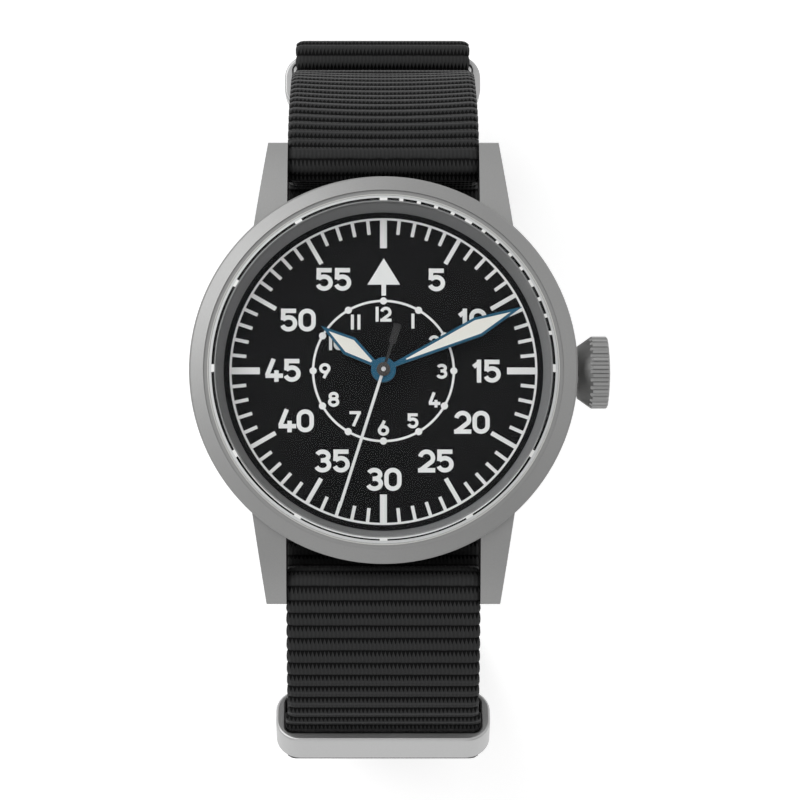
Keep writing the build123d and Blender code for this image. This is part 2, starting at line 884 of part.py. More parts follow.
# Balance wheel with its staff, roller and impulse pin, and the hairspring
balance_radius = 4.2
balance_rim = 0.42
balance_arm = 0.5
balance_hub_radius = 0.7
roller_radius = 0.9
roller_height = 0.2
impulse_pin_radius = 0.07
impulse_pin_reach = 0.8
hairspring_turns = 10
hairspring_radius = 2.3
hairspring_thickness = 0.05
collet_radius = 0.45
balance_top = plate_bottom - balance_drop
balance_low = balance_top - balance_thickness
roller_low = train_low - foot_gap - roller_height
hairspring_top = plate_bottom - hairspring_drop
hairspring_low = hairspring_top - hairspring_height

with BuildPart() as balance_wheel:
    with BuildSketch(Plane.XY.offset(balance_low)):
        with Locations(Location(balance_axis, balance_bearing)):
            Circle(balance_radius)
            Circle(balance_radius - balance_rim, mode=Mode.SUBTRACT)
            Rectangle(2 * balance_radius - balance_rim, balance_arm)
            Circle(balance_hub_radius)
    extrude(amount=balance_thickness)
    with BuildSketch(Plane.XY.offset(roller_low)):
        with Locations(balance_axis):
            Circle(roller_radius)
    extrude(amount=roller_height)
    with BuildSketch(Plane.XY.offset(roller_low)):
        with Locations(polar(balance_axis, impulse_pin_reach, balance_bearing + 180)):
            Circle(impulse_pin_radius)
    extrude(amount=train_top - roller_low)
    with BuildSketch(Plane.XY.offset(hairspring_low)):
        with Locations(balance_axis):
            Circle(collet_radius)
    extrude(amount=hairspring_height)
    with BuildSketch(Plane.XY.offset(hairspring_low - foot_gap)):
        with Locations(balance_axis):
            Circle(arbor_radius)
    extrude(amount=train_top - hairspring_low)
    with BuildSketch(Plane.XY.offset(pivot_low)):
        with Locations(balance_axis):
            Circle(pivot_radius)
    extrude(amount=pivot_high - pivot_low)
balance_wheel.part.label = "balance_wheel"
export_step(balance_wheel.part, "parts/balance_wheel.step")

spiral_spring(
    "hairspring",
    balance_axis,
    hairspring_radius,
    collet_radius + hairspring_thickness + press_gap,
    hairspring_turns,
    hairspring_thickness,
    hairspring_low,
    hairspring_top,
)

# Motion work under the dial: cannon pinion, minute wheel, hour wheel and setting wheel
recess_floor = plate_top - motion_recess
minute_wheel_low = driving_low
minute_wheel_top = minute_wheel_low + wheel_thickness
cannon_low = recess_floor + seat_gap
minute_low = dial_top + minute_hand_rise
hour_low = dial_top + hour_hand_rise
hour_wheel_top = plate_top - seat_gap
hour_wheel_low = hour_wheel_top - wheel_thickness


def drilled_gear(label, centre, gears, shafts, bore):
    """Build a wheel that turns on a post or a pipe, with a bore right through it."""
    with BuildPart() as piece:
        for radius, low, high in shafts:
            with BuildSketch(Plane.XY.offset(low)):
                with Locations(centre):
                    Circle(radius)
            extrude(amount=high - low)
        for teeth, module, phase, low, high in gears:
            with BuildSketch(Plane.XY.offset(low)):
                with BuildLine():
                    Polyline(*tooth_points(centre, teeth, module, phase), close=True)
                make_face()
            extrude(amount=high - low)
        bottom = piece.part.bounding_box().min.Z
        top = piece.part.bounding_box().max.Z
        with BuildSketch(Plane.XY.offset(bottom - overrun)):
            with Locations(centre):
                Circle(bore)
        extrude(amount=top - bottom + 2 * overrun, mode=Mode.SUBTRACT)
    piece.part.label = label
    export_step(piece.part, f"parts/{label}.step")


drilled_gear(
    "cannon_pinion",
    hands_axis,
    [(cannon_teeth, motion_module, cannon_phase, cannon_low, driving_low + driving_height)],
    [(cannon_radius, cannon_low, minute_low + hand_thickness)],
    centre_tube_radius + turn_gap,
)
drilled_gear(
    "minute_wheel",
    minute_wheel_axis,
    [
        (minute_wheel_teeth, motion_module, minute_wheel_phase, minute_wheel_low, minute_wheel_top),
        (minute_pinion_teeth, hour_module, minute_pinion_phase, minute_wheel_top, hour_wheel_top),
    ],
    [],
    stud_radius + turn_gap,
)
drilled_gear(
    "hour_wheel",
    hands_axis,
    [(hour_wheel_teeth, hour_module, hour_wheel_phase, hour_wheel_low, hour_wheel_top)],
    [(hour_pipe_radius, hour_wheel_low, hour_low + hand_thickness)],
    cannon_radius + turn_gap,
)
drilled_gear(
    "setting_wheel",
    setting_axis,
    [(setting_teeth, motion_module, setting_phase, minute_wheel_low, minute_wheel_top)],
    [],
    stud_radius + turn_gap,
)

# Main plate, with recesses for the motion work and the keyless work, and a channel for the stem
wheel_room = 0.12
stem_radius = 0.45
stem_inner_end = 6.0
stem_channel_half = 1.0
stem_channel_start = 5.9
stem_channel_end = 11.95
pillar_hole_depth = 0.65
lever_pivot = (11.2, -3.0)
lever_pin = (10.7, -0.4)
yoke_pivot = (7.45, -3.6)
yoke_tip = (7.8, 0.0)
lever_post_radius = 0.35
lever_post_length = 0.6
barrel_bridge_edge = 2.4
bridge_split = 0.12
barrel_pillars = [polar(hands_axis, 11.4, bearing) for bearing in (16, 78, 106)]
train_pillars = [(-8.5, 5.0), (-10.3, -2.5), (6.9, -7.6)]
cock_foot = (-5.3, -9.2)
cock_half_width = 1.35
cock_room = 4.4
pallet_bridge_reach = 3.2
pallet_bridge_bearing = -12
pallet_bridge_foot = polar(pallet_axis, pallet_bridge_reach, pallet_bridge_bearing)
pallet_bridge_half_width = 0.8
stud_post_radius = 0.15
plate_pivots = [third_axis, escape_axis, pallet_axis, balance_axis]
train_pivots = [hands_axis, third_axis, escape_axis]
motion_room = (
    (hands_axis, hour_module * (hour_wheel_teeth / 2 + tooth_addendum_share)),
    (minute_wheel_axis, motion_module * (minute_wheel_teeth / 2 + tooth_addendum_share)),
    (setting_axis, motion_module * (setting_teeth / 2 + tooth_addendum_share)),
    (great_axis, motion_module * (cannon_teeth / 2 + tooth_addendum_share)),
)

with BuildPart() as main_plate:
    with BuildSketch(Plane.XY.offset(plate_bottom)):
        Circle(movement_radius)
    extrude(amount=plate_thickness)
    with BuildSketch(Plane.XY.offset(recess_floor)):
        for centre, reach in motion_room:
            with Locations(centre):
                Circle(reach + wheel_room)
    extrude(amount=motion_recess + overrun, mode=Mode.SUBTRACT)
    with BuildSketch(Plane.XY.offset(plate_top - keyless_recess)):
        with Locations(lever_pivot, yoke_pivot):
            Circle(stem_channel_half)
        stem_channel_ends = (stem_channel_end - stem_channel_half, stem_channel_start + stem_channel_half)
        with Locations((stem_channel_ends[0], 0), (stem_channel_ends[1], 0)):
            Circle(stem_channel_half)
        make_hull()
    extrude(amount=keyless_recess + overrun, mode=Mode.SUBTRACT)
    with BuildSketch(Plane.XY.offset(plate_bottom - overrun)):
        with Locations(((stem_channel_start + stem_channel_end) / 2, 0)):
            Rectangle(stem_channel_end - stem_channel_start, 2 * stem_channel_half)
        with Locations(great_axis):
            Circle(arbor_radius + turn_gap)
    extrude(amount=plate_thickness + 2 * overrun, mode=Mode.SUBTRACT)
    with BuildSketch(Plane.XY.offset(plate_bottom)):
        with Locations(*plate_pivots):
            Circle(jewel_radius + press_gap)
    extrude(amount=jewel_thickness, mode=Mode.SUBTRACT)
    with BuildSketch(Plane.XY.offset(plate_bottom)):
        with Locations(*plate_pivots):
            Circle(jewel_hole_radius)
        with Locations(barrel_axis):
            Circle(barrel_pivot_radius + turn_gap)
    extrude(amount=pivot_length + seat_gap, mode=Mode.SUBTRACT)
    with BuildSketch(Plane.XY.offset(plate_bottom)):
        with Locations(*barrel_pillars, *train_pillars, cock_foot, pallet_bridge_foot):
            Circle(screw_shank_radius + press_gap)
    extrude(amount=pillar_hole_depth, mode=Mode.SUBTRACT)
    with BuildSketch(Plane.XY.offset(plate_top)):
        with Locations(*[polar((0, 0), dial_foot_at, bearing) for bearing in dial_foot_angles]):
            Circle(dial_foot_radius + turn_gap)
    extrude(amount=-dial_foot_length - seat_gap, mode=Mode.SUBTRACT)
    with BuildSketch(Plane.XY.offset(plate_top - keyless_recess)):
        with Locations(lever_pivot, yoke_pivot):
            Circle(lever_post_radius + turn_gap)
    extrude(amount=-lever_post_length - seat_gap, mode=Mode.SUBTRACT)
    with BuildSketch(Plane.YZ.offset(stem_channel_end - overrun)):
        with Locations((0, stem_z)):
            Circle(stem_radius + turn_gap)
    extrude(amount=movement_radius, mode=Mode.SUBTRACT)
    with BuildSketch(Plane.XY.offset(recess_floor)):
        with Locations(minute_wheel_axis, setting_axis):
            Circle(stud_radius)
    extrude(amount=hour_wheel_low - recess_floor)
    with BuildSketch(Plane.XY.offset(plate_bottom)):
        Circle(centre_tube_radius)
    extrude(amount=hour_low - plate_bottom)
    with BuildSketch(Plane.XY.offset(plate_bottom - overrun)):
        Circle(centre_tube_bore)
    extrude(amount=hour_low - plate_bottom + 2 * overrun, mode=Mode.SUBTRACT)
main_plate.part.label = "main_plate"
export_step(main_plate.part, "parts/main_plate.step")

# Bridges over the barrel and the train, the balance cock and the pallet bridge
click_reach = 5.6
click_bearing = 100
click_hub_radius = 0.75
click_beak_radius = 0.18
click_beak_bearing = 78
click_clear = 0.06
click_pin_radius = 0.3
click_pin_length = 0.4
click_axis = polar(barrel_axis, click_reach, click_bearing)

with BuildPart() as barrel_bridge:
    with BuildSketch(Plane.XY.offset(bridge_bottom)):
        split_middle = polar(hands_axis, barrel_bridge_edge + bridge_radius, barrel_bearing)
        with Locations(Location(split_middle, barrel_bearing)):
            Rectangle(2 * bridge_radius, 2 * bridge_radius)
        Circle(bridge_radius, mode=Mode.INTERSECT)
    extrude(amount=bridge_thickness)
    with BuildSketch(Plane.XY.offset(bridge_top)):
        with Locations(*barrel_pillars):
            Circle(pillar_radius)
    extrude(amount=train_space)
    with BuildSketch(Plane.XY.offset(bridge_bottom - overrun)):
        with Locations(barrel_axis):
            Circle(barrel_pivot_radius + turn_gap)
        with Locations(crown_wheel_axis):
            Circle(crown_hub_radius + turn_gap)
        with Locations(great_axis):
            Circle(jewel_hole_radius)
        with Locations(*barrel_pillars):
            Circle(screw_shank_radius + press_gap)
    extrude(amount=bridge_thickness + train_space + 2 * overrun, mode=Mode.SUBTRACT)
    with BuildSketch(Plane.XY.offset(bridge_top)):
        with Locations(great_axis):
            Circle(jewel_radius + press_gap)
    extrude(amount=-jewel_thickness, mode=Mode.SUBTRACT)
    with BuildSketch(Plane.XY.offset(bridge_bottom)):
        with Locations(click_axis):
            Circle(click_pin_radius + turn_gap)
    extrude(amount=click_pin_length + seat_gap, mode=Mode.SUBTRACT)
barrel_bridge.part.label = "barrel_bridge"
export_step(barrel_bridge.part, "parts/barrel_bridge.step")

cock_bearing = bearing_of(balance_axis, cock_foot)
stud_at = (balance_axis[0] + hairspring_radius + stud_post_radius + slide_gap, balance_axis[1])

with BuildPart() as train_bridge:
    with BuildSketch(Plane.XY.offset(bridge_bottom)):
        Circle(bridge_radius)
        with Locations(Location(split_middle, barrel_bearing)):
            Rectangle(2 * (bridge_radius + bridge_split), 3 * bridge_radius, mode=Mode.SUBTRACT)
        with Locations(balance_axis):
            Circle(cock_room, mode=Mode.SUBTRACT)
        with Locations(Location(cock_foot, cock_bearing)):
            Rectangle(2 * cock_room, 2 * (cock_half_width + bridge_split), mode=Mode.SUBTRACT)
    extrude(amount=bridge_thickness)
    with BuildSketch(Plane.XY.offset(bridge_top)):
        with Locations(*train_pillars):
            Circle(pillar_radius)
    extrude(amount=train_space)
    with BuildSketch(Plane.XY.offset(bridge_bottom - overrun)):
        with Locations(*train_pivots):
            Circle(jewel_hole_radius)
        with Locations(*train_pillars):
            Circle(screw_shank_radius + press_gap)
    extrude(amount=bridge_thickness + train_space + 2 * overrun, mode=Mode.SUBTRACT)
    with BuildSketch(Plane.XY.offset(bridge_top)):
        with Locations(*train_pivots):
            Circle(jewel_radius + press_gap)
    extrude(amount=-jewel_thickness, mode=Mode.SUBTRACT)
train_bridge.part.label = "train_bridge"
export_step(train_bridge.part, "parts/train_bridge.step")

with BuildPart() as balance_cock:
    with BuildSketch(Plane.XY.offset(bridge_bottom)):
        with Locations(balance_axis, cock_foot):
            Circle(cock_half_width)
        make_hull()
        with BuildLine():
            Line(balance_axis, stud_at)
        trace(line_width=cock_half_width)
        with Locations(stud_at):
            Circle(cock_half_width / 2)
    extrude(amount=bridge_thickness)
    with BuildSketch(Plane.XY.offset(bridge_top)):
        with Locations(cock_foot):
            Circle(pillar_radius)
    extrude(amount=train_space)
    with BuildSketch(Plane.XY.offset(bridge_top)):
        with Locations(stud_at):
            Circle(stud_post_radius)
    extrude(amount=hairspring_top - bridge_top)
    with BuildSketch(Plane.XY.offset(bridge_bottom - overrun)):
        with Locations(balance_axis):
            Circle(jewel_hole_radius)
        with Locations(cock_foot):
            Circle(screw_shank_radius + press_gap)
    extrude(amount=bridge_thickness + train_space + 2 * overrun, mode=Mode.SUBTRACT)
    with BuildSketch(Plane.XY.offset(bridge_top)):
        with Locations(balance_axis):
            Circle(jewel_radius + press_gap)
    extrude(amount=-jewel_thickness, mode=Mode.SUBTRACT)
balance_cock.part.label = "balance_cock"
export_step(balance_cock.part, "parts/balance_cock.step")

with BuildPart() as pallet_bridge:
    with BuildSketch(Plane.XY.offset(pallet_bridge_low)):
        with Locations(pallet_axis, pallet_bridge_foot):
            Circle(pallet_bridge_half_width)
        make_hull()
    extrude(amount=pallet_bridge_thickness)
    with BuildSketch(Plane.XY.offset(pallet_bridge_top)):
        with Locations(pallet_bridge_foot):
            Circle(pallet_bridge_half_width)
    extrude(amount=pallet_bridge_drop)
    with BuildSketch(Plane.XY.offset(pallet_bridge_low - overrun)):
        with Locations(pallet_axis):
            Circle(jewel_hole_radius)
        with Locations(pallet_bridge_foot):
            Circle(screw_shank_radius + press_gap)
    extrude(amount=pallet_bridge_thickness + pallet_bridge_drop + 2 * overrun, mode=Mode.SUBTRACT)
    with BuildSketch(Plane.XY.offset(pallet_bridge_top)):
        with Locations(pallet_axis):
            Circle(jewel_radius + press_gap)
    extrude(amount=-jewel_thickness, mode=Mode.SUBTRACT)
pallet_bridge.part.label = "pallet_bridge"
export_step(pallet_bridge.part, "parts/pallet_bridge.step")

# Jewel bearings, pressed into the plate and the bridges
with BuildPart() as jewels:
    for low, places in (
        (plate_bottom, plate_pivots),
        (bridge_top - jewel_thickness, train_pivots + [great_axis, balance_axis]),
        (pallet_bridge_top - jewel_thickness, [pallet_axis]),
    ):
        with BuildSketch(Plane.XY.offset(low)):
            with Locations(*places):
                Circle(jewel_radius)
                Circle(jewel_hole_radius, mode=Mode.SUBTRACT)
        extrude(amount=jewel_thickness)
jewels.part.label = "jewels"
export_step(jewels.part, "parts/jewels.step")

# Slotted screws that hold the bridges down
with BuildPart() as bridge_screws:
    for head_top, places in (
        (bridge_bottom, barrel_pillars + train_pillars + [cock_foot]),
        (pallet_bridge_low, [pallet_bridge_foot]),
    ):
        with BuildSketch(Plane.XY.offset(head_top)):
            with Locations(*places):
                Circle(screw_head_radius)
        extrude(amount=-screw_head_height)
        with BuildSketch(Plane.XY.offset(head_top)):
            with Locations(*places):
                Circle(screw_shank_radius)
        extrude(amount=plate_bottom + pillar_hole_depth - seat_gap - head_top)
        with BuildSketch(Plane.XY.offset(head_top - screw_head_height)):
            with Locations(*places):
                Rectangle(2 * screw_head_radius + overrun, screw_slot)
        extrude(amount=screw_head_height / 2, mode=Mode.SUBTRACT)
bridge_screws.part.label = "bridge_screws"
export_step(bridge_screws.part, "parts/bridge_screws.step")

# Click that keeps the ratchet wheel from turning back
ratchet_tip_radius = ratchet_module * (ratchet_teeth / 2 + tooth_addendum_share)
click_beak = polar(
    barrel_axis, ratchet_tip_radius + click_beak_radius + click_clear, click_beak_bearing
)

with BuildPart() as click:
    with BuildSketch(Plane.XY.offset(ratchet_low)):
        with Locations(click_axis):
            Circle(click_hub_radius)
        with Locations(click_beak):
            Circle(click_beak_radius)
        make_hull()
    extrude(amount=ratchet_thickness)
    with BuildSketch(Plane.XY.offset(ratchet_low)):
        with Locations(click_axis):
            Circle(click_pin_radius)
    extrude(amount=ratchet_thickness + foot_gap + click_pin_length)
click.part.label = "click"
export_step(click.part, "parts/click.step")

# Stem, winding pinion and sliding clutch, turned about the stem's axis
clutch_start = 6.75
clutch_end = 9.0
clutch_radius = 0.8
clutch_groove_width = 0.45
clutch_groove_radius = 0.6
clutch_notches = 8
clutch_notch_depth = 0.25
clutch_notch_width = 0.2
stem_groove_width = 0.5
stem_groove_radius = 0.2
stem_screw_length = 0.7
stem_bore = stem_radius + turn_gap
crown_cavity_end = crown_start + crown_cavity_length
stem_outer_end = crown_cavity_end + stem_screw_length

with BuildPart() as stem:
    with BuildSketch(Plane.YZ.offset(stem_inner_end)):
        with Locations((0, stem_z)):
            Circle(stem_radius)
    extrude(amount=stem_outer_end - stem_inner_end)
    with BuildSketch(Plane.YZ.offset(lever_pin[0] - stem_groove_width / 2)):
        with Locations((0, stem_z)):
            Circle(stem_radius + overrun)
            Circle(stem_groove_radius, mode=Mode.SUBTRACT)
    extrude(amount=stem_groove_width, mode=Mode.SUBTRACT)
stem.part.label = "stem"
export_step(stem.part, "parts/stem.step")

winding_module = winding_radius / (winding_teeth / 2 + tooth_addendum_share)

with BuildPart() as winding_pinion:
    with BuildSketch(Plane.YZ.offset(winding_start)):
        with BuildLine():
            Polyline(*tooth_points((0, stem_z), winding_teeth, winding_module, 90), close=True)
        make_face()
        with Locations((0, stem_z)):
            Circle(stem_bore, mode=Mode.SUBTRACT)
    extrude(amount=winding_length)
winding_pinion.part.label = "winding_pinion"
export_step(winding_pinion.part, "parts/winding_pinion.step")

with BuildPart() as clutch:
    with BuildSketch(Plane.YZ.offset(clutch_start)):
        with Locations((0, stem_z)):
            Circle(clutch_radius)
    extrude(amount=clutch_end - clutch_start)
    with BuildSketch(Plane.YZ.offset(yoke_tip[0] - clutch_groove_width / 2)):
        with Locations((0, stem_z)):
            Circle(clutch_radius + overrun)
            Circle(clutch_groove_radius, mode=Mode.SUBTRACT)
    extrude(amount=clutch_groove_width, mode=Mode.SUBTRACT)
    for start in (clutch_start - overrun, clutch_end - clutch_notch_depth):
        with BuildSketch(Plane.YZ.offset(start)):
            with Locations((0, stem_z)):
                with PolarLocations(clutch_radius, clutch_notches):
                    Rectangle(clutch_radius / 2, clutch_notch_width)
        extrude(amount=overrun + clutch_notch_depth, mode=Mode.SUBTRACT)
    with BuildSketch(Plane.YZ.offset(clutch_start - overrun)):
        with Locations((0, stem_z)):
            Circle(stem_bore)
    extrude(amount=clutch_end - clutch_start + 2 * overrun, mode=Mode.SUBTRACT)
clutch.part.label = "clutch"
export_step(clutch.part, "parts/clutch.step")

# Setting lever, whose pin rides in the stem's groove, and the yoke that shifts the clutch
lever_thickness = 0.2
lever_hub_radius = 0.8
lever_tip_radius = 0.3
lever_pin_radius = 0.12
lever_arm_tip = (8.75, -2.9)
lever_arm_radius = 0.25
yoke_hub_radius = 0.7
yoke_tip_radius = 0.17
lever_top = plate_top - slide_gap
lever_low = lever_top - lever_thickness

with BuildPart() as setting_lever:
    with BuildSketch(Plane.XY.offset(lever_low)):
        with Locations(lever_pivot):
            Circle(lever_hub_radius)
        with Locations(lever_pin):
            Circle(lever_tip_radius)
        make_hull()
    extrude(amount=lever_thickness)
    with BuildSketch(Plane.XY.offset(lever_low)):
        with Locations(lever_pivot):
            Circle(lever_post_radius)
        with Locations(lever_arm_tip):
            Circle(lever_arm_radius)
        make_hull()
    extrude(amount=lever_thickness)
    with BuildSketch(Plane.XY.offset(lever_low)):
        with Locations(lever_pin):
            Circle(lever_pin_radius)
    extrude(amount=stem_z - stem_radius / 2 - lever_low)
    with BuildSketch(Plane.XY.offset(lever_low)):
        with Locations(lever_pivot):
            Circle(lever_post_radius)
    extrude(amount=plate_top - keyless_recess - lever_post_length - lever_low)
setting_lever.part.label = "setting_lever"
export_step(setting_lever.part, "parts/setting_lever.step")

with BuildPart() as yoke:
    with BuildSketch(Plane.XY.offset(lever_low)):
        with Locations(yoke_pivot):
            Circle(yoke_hub_radius)
        with Locations(yoke_tip):
            Circle(yoke_tip_radius)
        make_hull()
    extrude(amount=lever_thickness)
    with BuildSketch(Plane.XY.offset(lever_low)):
        with Locations(yoke_pivot):
            Circle(lever_post_radius)
    extrude(amount=plate_top - keyless_recess - lever_post_length - lever_low)
yoke.part.label = "yoke"
export_step(yoke.part, "parts/yoke.step")

# Ring that centres the movement and is clamped between the dial and the caseback
holder_top = dial_back - seat_gap
holder_bottom = caseback_top + seat_gap

with BuildPart() as movement_ring:
    with BuildSketch(Plane.XY.offset(holder_bottom)):
        Circle(case_bore_radius - seat_gap)
        Circle(movement_radius + seat_gap, mode=Mode.SUBTRACT)
    extrude(amount=holder_top - holder_bottom)
    with BuildSketch(Plane.YZ.offset(movement_radius - overrun)):
        with Locations((0, stem_z)):
            Circle(stem_radius + stem_room)
    extrude(amount=case_bore_radius, mode=Mode.SUBTRACT)
movement_ring.part.label = "movement_ring"
export_step(movement_ring.part, "parts/movement_ring.step")

# Crown with its flutes, the tube it runs on and the seal between them
crown_end = crown_start + crown_length
crown_rim = crown_start + crown_cone

with BuildPart() as crown:
    with BuildSketch(Plane.XZ):
        with BuildLine():
            Polyline(
                (crown_start, stem_z),
                (crown_start, stem_z + crown_neck_radius),
                (crown_rim, stem_z + crown_radius),
                (crown_end - crown_edge, stem_z + crown_radius),
                (crown_end, stem_z + crown_radius - crown_edge),
            )
            TangentArc(
                (crown_end + crown_dome, stem_z),
                (crown_end, stem_z + crown_radius - crown_edge),
                tangent=(0, 1),
            )
            Line((crown_end + crown_dome, stem_z), (crown_start, stem_z))
        make_face()
    revolve(axis=Axis((0, 0, stem_z), (1, 0, 0)))
    with BuildSketch(Plane.YZ.offset(crown_rim - crown_flute_radius)):
        with Locations((0, stem_z)):
            with PolarLocations(crown_radius + crown_flute_outset, crown_flutes):
                Circle(crown_flute_radius)
    extrude(amount=crown_length, mode=Mode.SUBTRACT)
    with BuildSketch(Plane.YZ.offset(crown_start - overrun)):
        with Locations((0, stem_z)):
            Circle(crown_cavity_radius)
    extrude(amount=overrun + crown_cavity_length, mode=Mode.SUBTRACT)
    with BuildSketch(Plane.YZ.offset(crown_cavity_end)):
        with Locations((0, stem_z)):
            Circle(stem_radius + press_gap)
    extrude(amount=stem_screw_length + seat_gap, mode=Mode.SUBTRACT)
crown.part.label = "crown"
export_step(crown.part, "parts/crown.step")

with BuildPart() as crown_tube:
    with BuildSketch(Plane.YZ.offset(crown_tube_inner_end)):
        with Locations((0, stem_z)):
            Circle(crown_tube_radius)
            Circle(crown_tube_bore, mode=Mode.SUBTRACT)
    extrude(amount=crown_tube_outer_end - crown_tube_inner_end)
crown_tube.part.label = "crown_tube"
export_step(crown_tube.part, "parts/crown_tube.step")

seal_half = (crown_cavity_radius - crown_tube_radius) / 2 - press_gap

with BuildPart() as crown_seal:
    with BuildSketch(Plane.XZ):
        with Locations((crown_seal_at, stem_z + (crown_cavity_radius + crown_tube_radius) / 2)):
            Circle(seal_half)
    revolve(axis=Axis((0, 0, stem_z), (1, 0, 0)))
crown_seal.part.label = "crown_seal"
export_step(crown_seal.part, "parts/crown_seal.step")

# Hands, at the time shown, with luminous fillings in open frames
hours, minutes, seconds = time_shown
hour_bearing = 90 - (hours + minutes / 60) * 30
minute_bearing = 90 - minutes * 6
seconds_bearing = 90 - seconds * 6


def lance_points(neck, shoulder, tip, width):
    """Give the outline of a lance-shaped hand that lies along its own X axis."""
    return [
        (0, -neck / 2),
        (shoulder, -width / 2),
        (tip, 0),
        (shoulder, width / 2),
        (0, neck / 2),
    ]


def lance_hand(label, low, bearing, pipe_radius, neck, shoulder, tip, width, lume_start):
    """Build a hand's frame and its luminous filling."""
    plane = Plane.XY.offset(low).rotated((0, 0, bearing))
    outline = lance_points(neck, shoulder, tip, width)
    with BuildPart() as frame:
        with BuildSketch(plane):
            with BuildLine():
                Polyline(*outline, close=True)
            make_face()
            offset(amount=-hand_rim, kind=Kind.INTERSECTION, mode=Mode.REPLACE)
            with Locations((lume_start - tip, 0)):
                Rectangle(2 * tip, 2 * width, mode=Mode.SUBTRACT)
        window = extrude(amount=hand_thickness, mode=Mode.PRIVATE)
        with BuildSketch(plane):
            with BuildLine():
                Polyline(*outline, close=True)
            make_face()
            Circle(hand_hub_radius)
        extrude(amount=hand_thickness)
        add(window, mode=Mode.SUBTRACT)
        with BuildSketch(plane):
            Circle(pipe_radius + press_gap)
        extrude(amount=hand_thickness, mode=Mode.SUBTRACT)
    frame.part.label = label
    export_step(frame.part, f"parts/{label}.step")
    with BuildPart() as filling:
        add(window)
    filling.part.label = f"{label}_lume"
    export_step(filling.part, f"parts/{label}_lume.step")


lance_hand(
    "hour_hand",
    hour_low,
    hour_bearing,
    hour_pipe_radius,
    hour_neck,
    hour_shoulder,
    hour_tip,
    hour_width,
    hour_lume_start,
)
lance_hand(
    "minute_hand",
    minute_low,
    minute_bearing,
    cannon_radius,
    minute_neck,
    minute_shoulder,
    minute_tip,
    minute_width,
    minute_lume_start,
)

with BuildPart() as seconds_hand:
    with BuildSketch(Plane.XY.offset(seconds_low).rotated((0, 0, seconds_bearing))):
        with BuildLine():
            Polyline(
                (-seconds_tail, -seconds_tail_width / 2),
                (-seconds_stem, -seconds_tail_width / 2),
                (-seconds_stem, -seconds_width / 2),
                (seconds_tip, -seconds_width / 2),
                (seconds_tip, seconds_width / 2),
                (-seconds_stem, seconds_width / 2),
                (-seconds_stem, seconds_tail_width / 2),
                (-seconds_tail, seconds_tail_width / 2),
                close=True,
            )
        make_face()
        Circle(seconds_cap_radius)
    extrude(amount=hand_thickness)
    with BuildSketch(Plane.XY.offset(seconds_low + hand_thickness)):
        Circle(seconds_cap_radius)
    extrude(amount=seconds_cap_height)
    with BuildSketch(Plane.XY.offset(seconds_low)):
        Circle(arbor_radius + press_gap)
    extrude(amount=hand_thickness + seconds_cap_height, mode=Mode.SUBTRACT)
seconds_hand.part.label = "seconds_hand"
export_step(seconds_hand.part, "parts/seconds_hand.step")

# Spring bars between the lugs: a tube, a spring inside it and a sprung tip at each end
bar_spring_half = tip_body_end - tip_travel - bar_spring_gap

with BuildPart() as spring_bar_tubes:
    with BuildSketch(Plane.YZ.offset(-bar_tube_half)):
        with Locations((bar_at, bar_z), (-bar_at, bar_z)):
            Circle(bar_radius)
            Circle(bar_tube_bore, mode=Mode.SUBTRACT)
    extrude(amount=2 * bar_tube_half)
spring_bar_tubes.part.label = "spring_bar_tubes"
export_step(spring_bar_tubes.part, "parts/spring_bar_tubes.step")

with BuildPart() as spring_bar_springs:
    with BuildSketch(Plane.YZ.offset(-bar_spring_half)):
        with Locations((bar_at, bar_z), (-bar_at, bar_z)):
            Circle(tip_body_radius)
            Circle(tip_body_radius - bar_spring_wall, mode=Mode.SUBTRACT)
    extrude(amount=2 * bar_spring_half)
spring_bar_springs.part.label = "spring_bar_springs"
export_step(spring_bar_springs.part, "parts/spring_bar_springs.step")

for end, bar_y in (("twelve", bar_at), ("six", -bar_at)):
    for side, hand in (("right", 1), ("left", -1)):
        with BuildPart() as tip:
            for low, high, radius in (
                (tip_body_end, tip_flange_at, tip_body_radius),
                (tip_flange_at, tip_flange_at + tip_flange_width, tip_flange_radius),
                (tip_flange_at + tip_flange_width, tip_reach, tip_radius),
            ):
                with BuildSketch(Plane.YZ.offset(hand * low)):
                    with Locations((bar_y, bar_z)):
                        Circle(radius)
                extrude(amount=hand * (high - low))
        tip.part.label = f"bar_tip_{end}_{side}"
        export_step(tip.part, f"parts/bar_tip_{end}_{side}.step")

# Routes of the strap's mid-surface in the plane of the loop, as (y, height)
strap_half = strap_thickness / 2
under_half = under_strap_thickness / 2
wrap_radius = bar_radius + slide_gap + strap_half
bar_corner = bar_at - wrap_radius
tail_floor = strap_half
lower_floor = tail_floor + strap_thickness + strap_layer_gap
buckle_bar_z = lower_floor + wrap_radius
case_floor = caseback_bottom - fabric_gap - strap_half
layer_step = strap_thickness + strap_layer_gap
strap_wall = tail_wall - layer_step
inner_corner = corner_facet_start - layer_step * tan(radians(corner_slope / 2))
facet_turn = tan(radians(corner_slope))
heel_radius = wrap_radius - slide_gap
flap_lift = 1.65
flap_radius = 4.0
flap_rise_start = 1.6
flap_rise_radius = 3.0
flap_length = 3.6
under_case_radius = 1.6
twelve_radius = 20.0
twelve_lower_radius = 25.0
six_radius = 20.0
six_middle_radius = 9.0
six_lower_radius = 14.0
six_corner_radius = 6.0
six_wall_foot = 14.5
buckle_rise_start = 1.0
buckle_rise_middle = 4.6
buckle_rise_end = 8.6
buckle_fall_end = 13.2
buckle_rise_low = 2.35
buckle_rise_high = 3.1
buckle_rise_radii = (3.0, 8.0, 3.5, 5.0)
tail_corner_radius = corner_radius + layer_step
fold_step = 4.25
fold_wall = tail_wall + fold_step
fold_radius = 1.9
fold_lift = 1.6
keeper_top = keeper_low + ring_depth


